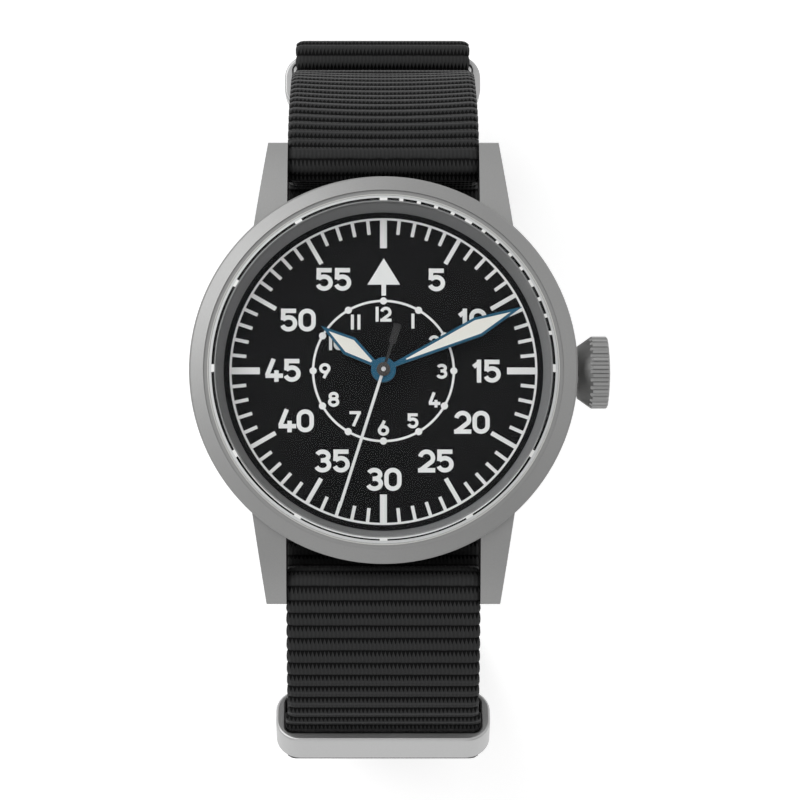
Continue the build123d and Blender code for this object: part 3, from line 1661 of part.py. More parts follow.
def bar_top(slope):
    """Give the height where a sloping run meets the wall beside a spring bar."""
    return bar_z + wrap_radius * (1 + sin(radians(slope))) / cos(radians(slope))


def down(start, slope, end_y):
    """Follow a slope outwards and down from a point to a distance from the middle."""
    return (end_y, start[1] - abs(end_y - start[0]) * tan(radians(slope)))


twelve_top = (bar_corner, bar_top(twelve_slope))
twelve_middle = down(twelve_top, twelve_slope, twelve_bend)
twelve_foot = down(twelve_middle, twelve_lower_slope, strap_wall)
six_top = (-bar_corner, bar_top(six_slope))
six_upper = down(six_top, six_slope, -six_bend)
six_middle = down(six_upper, six_middle_slope, -six_second_bend)
six_foot = down(six_middle, six_lower_slope, -six_wall)
flap_corner = (inner_corner - flap_lift * tan(radians(corner_slope / 2)), lower_floor + flap_lift)
flap_along = flap_length * cos(radians(corner_slope))
heel_wall = buckle_bar_at - wrap_radius
strap_route = [
    (flap_corner[0] + flap_along, flap_corner[1] + flap_along * facet_turn),
    flap_corner,
    (buckle_bar_at + flap_rise_start, buckle_bar_z + wrap_radius),
    (heel_wall, buckle_bar_z + wrap_radius),
    (heel_wall, lower_floor),
    (inner_corner, lower_floor),
    (strap_wall, lower_floor + (strap_wall - inner_corner) * facet_turn),
    twelve_foot,
    twelve_middle,
    twelve_top,
    (bar_corner, case_floor),
    (-bar_corner, case_floor),
    six_top,
    six_upper,
    six_middle,
    six_foot,
    (-six_wall, six_wall_foot),
    (-six_facet_start, tail_floor),
    (buckle_rise_start, tail_floor),
    (buckle_rise_middle, buckle_rise_low),
    (buckle_rise_end, buckle_rise_high),
    (buckle_fall_end, tail_floor),
    (corner_facet_start, tail_floor),
    (tail_wall, tail_floor + (tail_wall - corner_facet_start) * facet_turn),
    (tail_wall, keeper_top + fold_lift),
    (fold_wall, keeper_top + fold_lift),
    (fold_wall, keeper_top + fold_lift - tail_fold_length),
]
strap_radii = [
    flap_radius,
    flap_rise_radius,
    heel_radius,
    heel_radius,
    corner_radius,
    corner_radius,
    twelve_lower_radius,
    twelve_radius,
    wrap_radius,
    under_case_radius,
    under_case_radius,
    wrap_radius,
    six_radius,
    six_middle_radius,
    six_lower_radius,
    six_corner_radius,
    six_corner_radius,
    *buckle_rise_radii,
    tail_corner_radius,
    tail_corner_radius,
    fold_radius,
    fold_radius,
]


def run_between(start, end):
    """Give the unit direction from one point to another."""
    length = hypot(end[0] - start[0], end[1] - start[1])
    return ((end[0] - start[0]) / length, (end[1] - start[1]) / length)


def shifted(route, turn_radii, distance):
    """Move a bent route sideways to its left, with the bend radii to match."""
    corners = []
    new_radii = []
    for index, point in enumerate(route):
        before = run_between(route[max(index - 1, 0)], route[max(index, 1)])
        after = run_between(
            route[min(index, len(route) - 2)], route[min(index + 1, len(route) - 1)]
        )
        share = 1 / (1 + before[0] * after[0] + before[1] * after[1])
        corners.append(
            (
                point[0] - distance * share * (before[1] + after[1]),
                point[1] + distance * share * (before[0] + after[0]),
            )
        )
        if 0 < index < len(route) - 1:
            turn = before[0] * after[1] - before[1] * after[0]
            change = distance if turn > 0 else -distance
            new_radii.append(turn_radii[index - 1] - change)
    return corners, new_radii


def band(route, turn_radii, half):
    """Draw a closed band of even thickness along a bent route."""
    left, left_radii = shifted(route, turn_radii, half)
    right, right_radii = shifted(route, turn_radii, -half)
    FilletPolyline(*left, radius=left_radii)
    FilletPolyline(*right, radius=right_radii)
    Line(left[0], right[0])
    Line(left[-1], right[-1])


# Main strap, slotted for the tongue, with adjustment holes and a rounded tail
slot_start = 8.9
slot_end = 14.0
hole_datum = 10.9
heel_slot_end = 20.4
hole_pitch = 6.5
slot_middle = (slot_start + slot_end) / 2
hole_shares = (-3, -2, -1, 1)
tail_round = strap_width / 2

with BuildPart() as strap_main:
    with BuildSketch(Plane.YZ):
        with BuildLine():
            band(strap_route, strap_radii, strap_half)
        make_face()
    extrude(amount=strap_width / 2, both=True)
    with BuildSketch(Plane.XY.offset(tail_floor - layer_step)):
        with Locations((0, slot_middle)):
            Rectangle(strap_slot_width, slot_end - slot_start)
    extrude(amount=2 * layer_step + buckle_rise_low, mode=Mode.SUBTRACT)
    with BuildSketch(Plane.XY.offset(tail_floor + strap_half + strap_layer_gap / 2)):
        with Locations((0, (heel_wall - strap_thickness + heel_slot_end) / 2)):
            Rectangle(strap_slot_width, heel_slot_end - heel_wall + strap_thickness)
    extrude(amount=buckle_bar_z + wrap_radius, mode=Mode.SUBTRACT)
    for share in hole_shares:
        at_y = hole_datum + share * hole_pitch
        height = buckle_rise_high if 0 < at_y < hole_datum else tail_floor
        with BuildSketch(Plane.XY.offset(-overrun)):
            with Locations((0, at_y)):
                Circle(strap_hole_radius)
        extrude(amount=overrun + height + strap_half + seat_gap, mode=Mode.SUBTRACT)
    tail_end = keeper_top + fold_lift - tail_fold_length
    with BuildSketch(Plane.XZ.offset(-fold_wall + strap_thickness)):
        with Locations((0, tail_end)):
            Rectangle(strap_width + overrun, 2 * tail_round)
        with Locations((0, tail_end + tail_round)):
            Circle(tail_round, mode=Mode.SUBTRACT)
    extrude(amount=-2 * strap_thickness, mode=Mode.SUBTRACT)
strap_main.part.label = "strap_main"
export_step(strap_main.part, "parts/strap_main.step")

# Ring below the case on the 6 o'clock side, through which both straps pass
ring_along = 4.8
ring_outer_gap = 0.4
ring_bar_clear = 0.25
under_return_gap = 0.45
under_return_end = 22.0
under_top = 28.0
under_foot = 35.4
under_shoulder_setback = 1.7
under_shoulder = bar_at - under_shoulder_setback
under_bend_radius = 8.0
under_ring_radius = 2.4
under_loop_radius = 1.1
under_return_radius = 1.5
ring_run = run_between(six_middle, six_foot)
ring_across = (ring_run[1], -ring_run[0])
ring_start = (
    six_middle[0] + ring_along * ring_run[0],
    six_middle[1] + ring_along * ring_run[1],
)


def ring_point(along, across):
    """Give a point from the ring's middle along the strap and out across it."""
    return (
        ring_start[0] + along * ring_run[0] + across * ring_across[0],
        ring_start[1] + along * ring_run[1] + across * ring_across[1],
    )


def at_height(across, height):
    """Follow a line beside the ring to a height."""
    foot = ring_point(0, across)
    return (foot[0] + ring_run[0] * (height - foot[1]) / ring_run[1], height)


outer_wall_face = strap_half + ring_outer_gap
inner_wall_face = outer_wall_face - ring_height + 2 * ring_wall
loop_across = inner_wall_face + fabric_gap + under_half
return_across = inner_wall_face - ring_wall - fabric_gap - under_half
loop_along = ring_depth / 2 + ring_bar_clear + under_half
under_floor = case_floor - strap_half - fabric_gap - under_half
return_floor = under_floor - under_strap_thickness - under_return_gap
under_wall = strap_wall - strap_half - fabric_gap - under_half
under_route = [
    (under_wall, under_top),
    (under_wall, under_foot),
    (under_shoulder, under_floor),
    at_height(loop_across, under_floor),
    ring_point(loop_along, loop_across),
    ring_point(loop_along, return_across),
    at_height(return_across, return_floor),
    (-under_return_end, return_floor),
]
under_radii = [
    under_bend_radius,
    under_bend_radius,
    under_ring_radius,
    under_loop_radius,
    under_loop_radius,
    under_return_radius,
]

with BuildPart() as under_strap:
    with BuildSketch(Plane.YZ):
        with BuildLine():
            band(under_route, under_radii, under_half)
        make_face()
    extrude(amount=strap_width / 2, both=True)
under_strap.part.label = "under_strap"
export_step(under_strap.part, "parts/under_strap.step")


def metal_ring(label, middle, along):
    """Build a flat-sided ring whose hole faces along the strap."""
    plane = Plane(origin=(0, *middle), x_dir=(1, 0, 0), z_dir=(0, *along))
    with BuildPart() as loop:
        with BuildSketch(plane):
            RectangleRounded(ring_width, ring_height, ring_corner)
            RectangleRounded(
                ring_width - 2 * ring_wall,
                ring_height - 2 * ring_wall,
                ring_inner_corner,
                mode=Mode.SUBTRACT,
            )
        extrude(amount=ring_depth / 2, both=True)
        fillet(loop.edges(), radius=ring_edge)
    loop.part.label = label
    export_step(loop.part, f"parts/{label}.step")


keeper_gap = 0.175
keeper_middle = strap_half + keeper_gap + ring_wall - ring_height / 2
facet_middle = (
    (inner_corner + strap_wall) / 2,
    lower_floor + (strap_wall - inner_corner) / 2 * facet_turn,
)
facet_run = direction(corner_slope)
metal_ring("strap_ring", ring_point(0, outer_wall_face + ring_wall - ring_height / 2), ring_run)
metal_ring("upper_keeper", (strap_wall - keeper_middle, keeper_low + ring_depth / 2), (0, 1))
metal_ring(
    "lower_keeper",
    (
        facet_middle[0] - keeper_middle * facet_run[1],
        facet_middle[1] + keeper_middle * facet_run[0],
    ),
    facet_run,
)

# Buckle: a bar through the strap's heel, a hinged frame and a tongue
buckle_bar_half = 12.2
eye_wall = 0.55
tongue_recess = 0.15
tongue_floor = 0.1
frame_corner = 2.2
buckle_front = hypot(buckle_reach, buckle_drop)
buckle_plane = Plane(
    origin=(0, buckle_bar_at, buckle_bar_z),
    x_dir=(1, 0, 0),
    z_dir=(0, -buckle_drop / buckle_front, buckle_reach / buckle_front),
)
buckle_inner_half = buckle_width / 2 - buckle_side_bar
tongue_drop = buckle_bar_z - tongue_thickness / 2 - tongue_floor
tongue_slope = degrees(atan2(tongue_drop, tongue_end))
tongue_half = tongue_width / 2

with BuildPart() as buckle_bar:
    with BuildSketch(Plane.YZ):
        with Locations((buckle_bar_at, buckle_bar_z)):
            Circle(buckle_bar_radius)
    extrude(amount=buckle_bar_half, both=True)
buckle_bar.part.label = "buckle_bar"
export_step(buckle_bar.part, "parts/buckle_bar.step")

with BuildPart() as buckle_frame:
    with BuildSketch(buckle_plane.offset(-buckle_plate / 2)):
        with Locations((0, -buckle_front - buckle_front_bar / 2)):
            RectangleRounded(
                buckle_width,
                2 * (buckle_front + buckle_front_bar / 2),
                frame_corner,
                align=(Align.CENTER, Align.MIN),
            )
            with Locations((0, buckle_front_bar)):
                Rectangle(
                    2 * buckle_inner_half,
                    3 * buckle_front,
                    align=(Align.CENTER, Align.MIN),
                    mode=Mode.SUBTRACT,
                )
        with Locations((0, 0)):
            Rectangle(
                2 * buckle_width,
                2 * buckle_front,
                align=(Align.CENTER, Align.MIN),
                mode=Mode.SUBTRACT,
            )
    extrude(amount=buckle_plate)
    for side in (-1, 1):
        with BuildSketch(Plane.YZ.offset(side * buckle_inner_half)):
            with Locations((buckle_bar_at, buckle_bar_z)):
                Circle(buckle_bar_radius + turn_gap + eye_wall)
        extrude(amount=side * buckle_side_bar)
    with BuildSketch(Plane.YZ):
        with Locations((buckle_bar_at, buckle_bar_z)):
            Circle(buckle_bar_radius + turn_gap)
    extrude(amount=buckle_width, both=True, mode=Mode.SUBTRACT)
    with BuildSketch(Plane.YZ):
        with Locations(Location((buckle_bar_at, buckle_bar_z), tongue_slope)):
            with Locations((0, tongue_thickness / 2 + tongue_recess)):
                Rectangle(
                    2 * tongue_end,
                    buckle_plate * 2,
                    align=(Align.MAX, Align.MAX),
                )
    extrude(amount=tongue_half + tongue_recess, both=True, mode=Mode.SUBTRACT)
buckle_frame.part.label = "buckle_frame"
export_step(buckle_frame.part, "parts/buckle_frame.step")

with BuildPart() as tongue:
    with BuildSketch(Plane.YZ):
        with Locations(Location((buckle_bar_at, buckle_bar_z), tongue_slope)):
            with Locations((-tongue_end / 2, 0)):
                SlotOverall(tongue_end, tongue_thickness)
        with Locations((buckle_bar_at, buckle_bar_z)):
            Circle(buckle_bar_radius + turn_gap + tongue_eye_wall)
            Circle(buckle_bar_radius + turn_gap, mode=Mode.SUBTRACT)
    extrude(amount=tongue_half, both=True)
tongue.part.label = "tongue"
export_step(tongue.part, "parts/tongue.step")
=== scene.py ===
import bpy
import bmesh
import json
import numpy as np
from math import sin, cos, tan, pi, radians, hypot, atan2
from mathutils import Vector, Matrix


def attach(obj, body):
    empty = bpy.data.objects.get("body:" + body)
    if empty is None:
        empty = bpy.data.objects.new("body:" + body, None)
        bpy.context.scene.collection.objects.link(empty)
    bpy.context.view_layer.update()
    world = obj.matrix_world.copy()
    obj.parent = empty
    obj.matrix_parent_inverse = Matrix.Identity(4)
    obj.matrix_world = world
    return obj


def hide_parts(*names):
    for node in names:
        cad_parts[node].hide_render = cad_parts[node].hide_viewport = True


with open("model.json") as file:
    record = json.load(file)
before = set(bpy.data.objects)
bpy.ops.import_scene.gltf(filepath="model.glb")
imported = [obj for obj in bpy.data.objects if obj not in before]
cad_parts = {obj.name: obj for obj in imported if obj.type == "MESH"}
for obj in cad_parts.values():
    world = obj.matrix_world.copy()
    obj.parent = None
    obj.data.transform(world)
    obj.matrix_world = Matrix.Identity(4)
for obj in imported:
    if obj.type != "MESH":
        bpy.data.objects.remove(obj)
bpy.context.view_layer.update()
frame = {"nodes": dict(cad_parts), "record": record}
mm = 0.001
print("frame loaded,", len(frame["nodes"]), "nodes")


# shader node helpers

def newGroup(name, inputs, outputs):
    group = bpy.data.node_groups.new(name, "ShaderNodeTree")
    for label, value in inputs:
        made = group.interface.new_socket(name=label, in_out="INPUT", socket_type="NodeSocketFloat")
        made.default_value = value
    for label in outputs:
        group.interface.new_socket(name=label, in_out="OUTPUT", socket_type="NodeSocketFloat")
    enter = group.nodes.new("NodeGroupInput")
    leave = group.nodes.new("NodeGroupOutput")
    return group, enter.outputs, leave.inputs


def addNode(tree, kind, values=None, links=None):
    node = tree.nodes.new(kind)
    for key, value in (values or {}).items():
        if isinstance(key, int) or key in node.inputs:
            node.inputs[key].default_value = value
        else:
            setattr(node, key, value)
    for key, source in (links or {}).items():
        tree.links.new(source, node.inputs[key])
    return node


def mathNode(tree, operation, first, second=None, third=None, clamp=False):
    node = tree.nodes.new("ShaderNodeMath")
    node.operation = operation
    node.use_clamp = clamp
    for slot, value in enumerate((first, second, third)):
        if value is None:
            continue
        if isinstance(value, (int, float)):
            node.inputs[slot].default_value = value
        else:
            tree.links.new(value, node.inputs[slot])
    return node.outputs[0]


def saw(tree, value, pitch):
    return mathNode(tree, "FRACT", mathNode(tree, "DIVIDE", value, pitch))


def peak(tree, phase):
    # 0 in the middle of a saw's tooth, 1 at both of its ends
    off = mathNode(tree, "ABSOLUTE", mathNode(tree, "SUBTRACT", phase, 0.5))
    return mathNode(tree, "MULTIPLY", off, 2.0)


def mixColors(tree, mask, dark, light):
    node = tree.nodes.new("ShaderNodeMix")
    node.data_type = "RGBA"
    for slot, value in ((0, mask), (6, dark), (7, light)):
        if isinstance(value, (int, float)):
            node.inputs[slot].default_value = value
        elif isinstance(value, tuple):
            node.inputs[slot].default_value = (*value, 1.0)
        else:
            tree.links.new(value, node.inputs[slot])
    return node.outputs[2]


def placeGroup(tree, group, values=None):
    node = tree.nodes.new("ShaderNodeGroup")
    node.node_tree = group
    for key, value in (values or {}).items():
        node.inputs[key].default_value = value
    return node.outputs


def newMaterial(name, sockets):
    material = bpy.data.materials.new(name)
    material.use_nodes = True
    tree = material.node_tree
    shader = tree.nodes["Principled BSDF"]
    for key, value in sockets.items():
        shader.inputs[key].default_value = value
    return material, tree, shader


def addRelief(tree, shader, height, strength, depth):
    relief = addNode(tree, "ShaderNodeBump", {"Strength": strength, "Distance": depth}, {"Height": height})
    tree.links.new(relief.outputs[0], shader.inputs["Normal"])


def toned(color, factor):
    return tuple(min(1.0, part * factor) for part in color)


def addPiece(name, mesh, finishNames):
    for finish in finishNames:
        mesh.materials.append(materials[finish])
    piece = bpy.data.objects.new(name, mesh)
    bpy.context.scene.collection.objects.link(piece)
    return piece


# fine grain and slow clouds, shared by most materials

grainLook = dict(
    detail=3.0, rough=0.62, cloudScale=210.0, cloudDetail=4.0, cloudRough=0.55,
    depth=1.6, agedShare=0.35, drift=0.06, swing=0.06, reliefDepth=0.00002,
)


def makeFineGrain(look):
    group, given, out = newGroup(
        "fineGrain", [("Grain Size", 0.08), ("Depth", 1.0)], ["Tone", "Height", "Cloud"],
    )
    place = addNode(group, "ShaderNodeTexCoord").outputs["Object"]
    density = mathNode(group, "DIVIDE", 1 / mm, given["Grain Size"])
    grain = addNode(
        group, "ShaderNodeTexNoise", {"Detail": look["detail"], "Roughness": look["rough"]},
        {"Vector": place, "Scale": density},
    )
    cloud = addNode(
        group, "ShaderNodeTexNoise",
        {"Scale": look["cloudScale"], "Detail": look["cloudDetail"], "Roughness": look["cloudRough"]},
        {"Vector": place},
    )
    centred = mathNode(group, "SUBTRACT", grain.outputs[0], 0.5)
    tone = mathNode(group, "MULTIPLY_ADD", centred, given["Depth"], 0.5, clamp=True)
    group.links.new(tone, out["Tone"])
    group.links.new(grain.outputs[0], out["Height"])
    group.links.new(cloud.outputs[0], out["Cloud"])
    return group


fineGrain = makeFineGrain(grainLook)


def grainedMaterial(name, color, metallic, roughness, grain, spread, bump):
    material, tree, shader = newMaterial(name, {"Metallic": metallic})
    mark = placeGroup(tree, fineGrain, {"Grain Size": grain, "Depth": grainLook["depth"]})
    drift, swing = grainLook["drift"], grainLook["swing"]
    body = mixColors(tree, mark["Tone"], toned(color, 1 - spread), toned(color, 1 + spread))
    aged = mixColors(tree, mark["Cloud"], toned(color, 1 - drift), toned(color, 1 + drift))
    tree.links.new(mixColors(tree, grainLook["agedShare"], body, aged), shader.inputs["Base Color"])
    rough = mathNode(tree, "MULTIPLY_ADD", mark["Cloud"], swing, roughness - swing / 2)
    tree.links.new(rough, shader.inputs["Roughness"])
    addRelief(tree, shader, mark["Height"], bump, grainLook["reliefDepth"])
    return material


# materials of the hard pieces: colour, metallic, roughness, grain in mm, spread of tone, bump

finishes = {
    "caseSteel": ((0.275, 0.275, 0.273), 1.0, 0.42, 0.10, 0.10, 0.35),
    "hardwareSteel": ((0.42, 0.42, 0.42), 1.0, 0.36, 0.12, 0.08, 0.28),
    "rehautMetal": ((0.25, 0.25, 0.25), 0.0, 0.42, 0.09, 0.06, 0.15),
    "gasketRubber": ((0.02, 0.02, 0.021), 0.0, 0.62, 0.2, 0.15, 0.3),
    "gasketNylon": ((0.55, 0.55, 0.53), 0.0, 0.45, 0.2, 0.06, 0.1),
    # painted reflections on the crystal's edge: a bright ring and a grey band
    "bevelReflection": ((0.66, 0.67, 0.67), 0.0, 0.28, 0.12, 0.08, 0.12),
    "rimGlass": ((0.26, 0.265, 0.265), 0.0, 0.30, 0.12, 0.08, 0.12),
    "handBlue": ((0.028, 0.100, 0.165), 1.0, 0.30, 0.06, 0.10, 0.10),
    "lumeCream": ((0.90, 0.875, 0.81), 0.0, 0.80, 0.06, 0.05, 0.35),
    "wheelBrass": ((0.62, 0.44, 0.19), 1.0, 0.26, 0.05, 0.07, 0.12),
    "partSteel": ((0.56, 0.56, 0.57), 1.0, 0.22, 0.04, 0.05, 0.10),
    "plateRhodium": ((0.62, 0.62, 0.60), 1.0, 0.32, 0.16, 0.08, 0.20),
    "jewelRed": ((0.42, 0.02, 0.05), 0.0, 0.12, 0.3, 0.12, 0.02),
    "dialBlack": ((0.0070, 0.0070, 0.0072), 0.0, 0.62, 0.05, 0.22, 0.22),
    "dialWhite": ((0.90, 0.90, 0.89), 0.0, 0.70, 0.07, 0.03, 0.25),
}
materials = {name: grainedMaterial(name, *values) for name, values in finishes.items()}
mattSpecular = 0.03
for name in ("dialBlack", "dialWhite", "lumeCream"):
    shader = materials[name].node_tree.nodes["Principled BSDF"]
    shader.inputs["Specular IOR Level"].default_value = mattSpecular


# the crystal is coated against glare, so it reflects little

crystalLook = dict(
    ior=1.52, tint=(0.985, 0.99, 0.992, 1.0), reflect=(0.08, 0.08, 0.085, 1.0),
    wipeGrain=0.6, wipe=0.012, shadow=(0.93, 0.94, 0.94, 1.0),
)


def crystalMaterial(look):
    material, tree, shader = newMaterial("crystalGlass", {
        "Base Color": look["tint"], "Metallic": 0.0, "Transmission Weight": 1.0,
        "IOR": look["ior"], "Specular Tint": look["reflect"],
    })
    mark = placeGroup(tree, fineGrain, {"Grain Size": look["wipeGrain"]})
    wiped = mathNode(tree, "MULTIPLY", mark["Cloud"], look["wipe"])
    tree.links.new(wiped, shader.inputs["Roughness"])
    clear = addNode(tree, "ShaderNodeBsdfTransparent", {"Color": look["shadow"]})
    path = addNode(tree, "ShaderNodeLightPath")
    mixed = addNode(tree, "ShaderNodeMixShader", {}, {
        0: path.outputs["Is Shadow Ray"], 1: shader.outputs[0], 2: clear.outputs[0],
    })
    tree.links.new(mixed.outputs[0], tree.nodes["Material Output"].inputs["Surface"])
    return material


# the seconds hand: white needle, black tail, dark cap with a steel pinion, radii in metres

secondsLook = dict(
    bearing=197.6, capRadius=0.0007, pinionRadius=0.00024, pipeRadius=0.00011,
    needle=(0.84, 0.84, 0.83), tail=(0.022, 0.022, 0.022), cap=(0.06, 0.055, 0.052),
    pinion=(0.7, 0.7, 0.7), pipe=(0.02, 0.02, 0.02), speck=(0.1, 0.1, 0.1), speckShare=0.12,
    specular=0.2, grain=0.05, depth=1.2, rough=0.38, swing=0.2, bump=0.15,
)


def secondsMaterial(look):
    sockets = {"Metallic": 0.0, "Specular IOR Level": look["specular"]}
    material, tree, shader = newMaterial("secondsPaint", sockets)
    place = addNode(tree, "ShaderNodeTexCoord").outputs["Object"]
    split = addNode(tree, "ShaderNodeSeparateXYZ", {}, {0: place})
    bearing = radians(look["bearing"])  # clockwise from twelve
    alongX = mathNode(tree, "MULTIPLY", split.outputs[0], sin(bearing))
    along = mathNode(tree, "MULTIPLY_ADD", split.outputs[1], cos(bearing), alongX)
    flat = addNode(tree, "ShaderNodeCombineXYZ", {}, {0: split.outputs[0], 1: split.outputs[1]})
    length = addNode(tree, "ShaderNodeVectorMath", {"operation": "LENGTH"}, {0: flat.outputs[0]})
    radius = length.outputs["Value"]
    painted = mixColors(tree, mathNode(tree, "GREATER_THAN", along, 0.0), look["tail"], look["needle"])
    for part in ("cap", "pinion", "pipe"):
        inside = mathNode(tree, "LESS_THAN", radius, look[part + "Radius"])
        painted = mixColors(tree, inside, painted, look[part])
    mark = placeGroup(tree, fineGrain, {"Grain Size": look["grain"], "Depth": look["depth"]})
    speckled = mathNode(tree, "MULTIPLY", mark["Tone"], look["speckShare"])
    tree.links.new(mixColors(tree, speckled, painted, look["speck"]), shader.inputs["Base Color"])
    rough = mathNode(tree, "MULTIPLY_ADD", mark["Cloud"], look["swing"], look["rough"])
    tree.links.new(rough, shader.inputs["Roughness"])
    addRelief(tree, shader, mark["Height"], look["bump"], grainLook["reliefDepth"])
    return material


materials["crystalGlass"] = crystalMaterial(crystalLook)
materials["secondsPaint"] = secondsMaterial(secondsLook)

slotFinish = {
    "case_steel": "caseSteel", "hardware_steel": "hardwareSteel", "crystal_glass": "crystalGlass",
    "rehaut_metal": "rehautMetal", "dial_black": "dialBlack", "gasket_rubber": "gasketRubber",
    "gasket_nylon": "gasketNylon", "strap_fabric": "gasketRubber", "hand_blue": "handBlue",
    "lume_cream": "lumeCream", "seconds_white": "secondsPaint", "wheel_brass": "wheelBrass",
    "part_steel": "partSteel", "plate_rhodium": "plateRhodium", "jewel_red": "jewelRed",
}
for entry in frame["record"]["subparts"]:
    piece = frame["nodes"][entry["node"]]
    piece.data.materials.clear()
    piece.data.materials.append(materials[slotFinish[entry["material_slot"]]])

# steel arbors of the brass wheels, as radii in metres round their joints

arborRadii = dict(
    fourth_wheel=0.00024, great_wheel=0.00062, third_wheel=0.0006, balance_wheel=0.0003, minute_wheel=0.0007,
)
arborSteel = (0.55, 0.55, 0.56)


def steelArbor(name, centre, reach):
    material = materials["wheelBrass"].copy()
    material.name = name + "Finish"
    tree = material.node_tree
    shader = tree.nodes["Principled BSDF"]
    brass = shader.inputs["Base Color"].links[0].from_socket
    place = addNode(tree, "ShaderNodeTexCoord").outputs["Object"]
    flat = addNode(tree, "ShaderNodeVectorMath", {"operation": "MULTIPLY", 1: (1, 1, 0)}, {0: place})
    apart = addNode(
        tree, "ShaderNodeVectorMath", {"operation": "DISTANCE", 1: (*centre, 0)}, {0: flat.outputs[0]},
    ).outputs["Value"]
    isSteel = mathNode(tree, "LESS_THAN", apart, reach)
    tree.links.new(mixColors(tree, isSteel, brass, arborSteel), shader.inputs["Base Color"])
    return material


behaviour = frame["record"]["behaviour"]
for joint in behaviour["joints"]:
    for name in behaviour["bodies"][joint["child"]]:
        if name in arborRadii:
            centre = joint["pos_m"][:2]
            frame["nodes"][name].data.materials[0] = steelArbor(name, centre, arborRadii[name])
print("finishes placed on the nodes")


# ribbed webbing: its colours and the teeth of thread in its valleys, with painted shade in the valleys and
# teeth and a painted highlight on the crests of steep ribs

ribPitch = 1.4
threadPitch = 0.42
weaveLook = dict(
    valleyWidth=0.24, wobbleScale=1.3, wobbleDetail=2.0, wobble=0.12,
    toothFoot=0.02, toothReach=0.44, toothEdge=14.0,
    lateGain=2.5, lateFoot=0.05, lateReach=0.32, lateEdge=16.0,
    crestEdge=5.0, crestGain=2.0, fuzzScale=9.0, fuzzDetail=4.0, fuzzRough=0.7, threadRise=0.5, fuzzRise=0.25,
)


def makeWebWeave(look):
    # weavePlace holds the place across, the length along and how steeply the webbing falls away
    labels = ["Valley", "Teeth", "Threads", "Height", "Fuzz", "Crest"]
    group, given, out = newGroup("webWeave", [("Rib Pitch", ribPitch), ("Thread Pitch", threadPitch)], labels)
    place = addNode(
        group, "ShaderNodeAttribute", {"attribute_type": "GEOMETRY", "attribute_name": "weavePlace"},
    ).outputs["Vector"]
    across, along, steep = addNode(group, "ShaderNodeSeparateXYZ", {}, {0: place}).outputs
    wobble = addNode(
        group, "ShaderNodeTexNoise",
        {"Scale": look["wobbleScale"], "Detail": look["wobbleDetail"]}, {"Vector": place},
    )
    shift = mathNode(group, "MULTIPLY_ADD", wobble.outputs[0], look["wobble"], -look["wobble"] / 2)
    phase = saw(group, mathNode(group, "ADD", along, shift), given["Rib Pitch"])
    fromMiddle = peak(group, phase)
    thread = saw(group, across, given["Thread Pitch"])
    tooth = peak(group, thread)
    # valley mask, used to paint shade between the ribs
    valley = mathNode(group, "SUBTRACT", fromMiddle, 1 - look["valleyWidth"])
    valley = mathNode(group, "DIVIDE", valley, look["valleyWidth"], clamp=True)

    # teeth: near-black painted shade on one side of each valley, and on both sides where the webbing is
    # steep; they also sink the relief
    reach = mathNode(group, "MULTIPLY_ADD", tooth, look["toothReach"], look["toothFoot"])
    below = mathNode(group, "SUBTRACT", reach, phase)
    below = mathNode(group, "MULTIPLY", below, look["toothEdge"], clamp=True)
    late = mathNode(group, "MULTIPLY", steep, look["lateGain"], clamp=True)  # ribs on the far side, painted with more shade where the webbing is steep
    lateTooth = mathNode(group, "MULTIPLY", tooth, late)
    lateReach = mathNode(group, "MULTIPLY_ADD", lateTooth, look["lateReach"], look["lateFoot"])
    above = mathNode(group, "ADD", mathNode(group, "SUBTRACT", phase, 1.0), lateReach)
    above = mathNode(group, "MULTIPLY", above, look["lateEdge"], clamp=True)
    teeth = mathNode(group, "MAXIMUM", below, above)

    # painted highlight: a light line along the crest of each rib, only where the webbing falls steeply away
    crest = mathNode(group, "MULTIPLY", fromMiddle, look["crestEdge"])
    crest = mathNode(group, "SUBTRACT", 1.0, crest, clamp=True)
    turned = mathNode(group, "ABSOLUTE", steep)
    turned = mathNode(group, "MULTIPLY_ADD", turned, look["crestGain"], 1 - look["crestGain"], clamp=True)
    crest = mathNode(group, "MULTIPLY", crest, turned)

    wave = mathNode(group, "SINE", mathNode(group, "MULTIPLY", thread, 2 * pi))
    threads = mathNode(group, "MULTIPLY_ADD", wave, 0.5, 0.5)
    fuzz = addNode(
        group, "ShaderNodeTexNoise",
        {"Scale": look["fuzzScale"], "Detail": look["fuzzDetail"], "Roughness": look["fuzzRough"]},
        {"Vector": place},
    ).outputs[0]
    sunk = mathNode(group, "MULTIPLY", teeth, -1.0)
    height = mathNode(group, "MULTIPLY_ADD", threads, look["threadRise"], sunk)
    height = mathNode(group, "MULTIPLY_ADD", fuzz, look["fuzzRise"], height)
    for label, value in zip(labels, (valley, teeth, threads, height, fuzz, crest)):
        group.links.new(value, out[label])
    return group


webWeave = makeWebWeave(weaveLook)

# the light colour put on the crests of steep ribs is a painted highlight; the darker valleys and the
# near-black teeth are painted shade
yarnLook = dict(
    crest=(0.0330, 0.0332, 0.0336), low=(0.0120, 0.0120, 0.0123), gap=(0.0010, 0.0010, 0.0011),
    crestHighlight=(0.072, 0.072, 0.074), threadShare=0.42, fuzzShare=0.30, fuzzTone=0.8,
    specular=0.07, sheen=0.02, sheenRough=0.45, rough=0.46, valleyRough=0.25, bump=0.75, reliefDepth=0.00008,
)


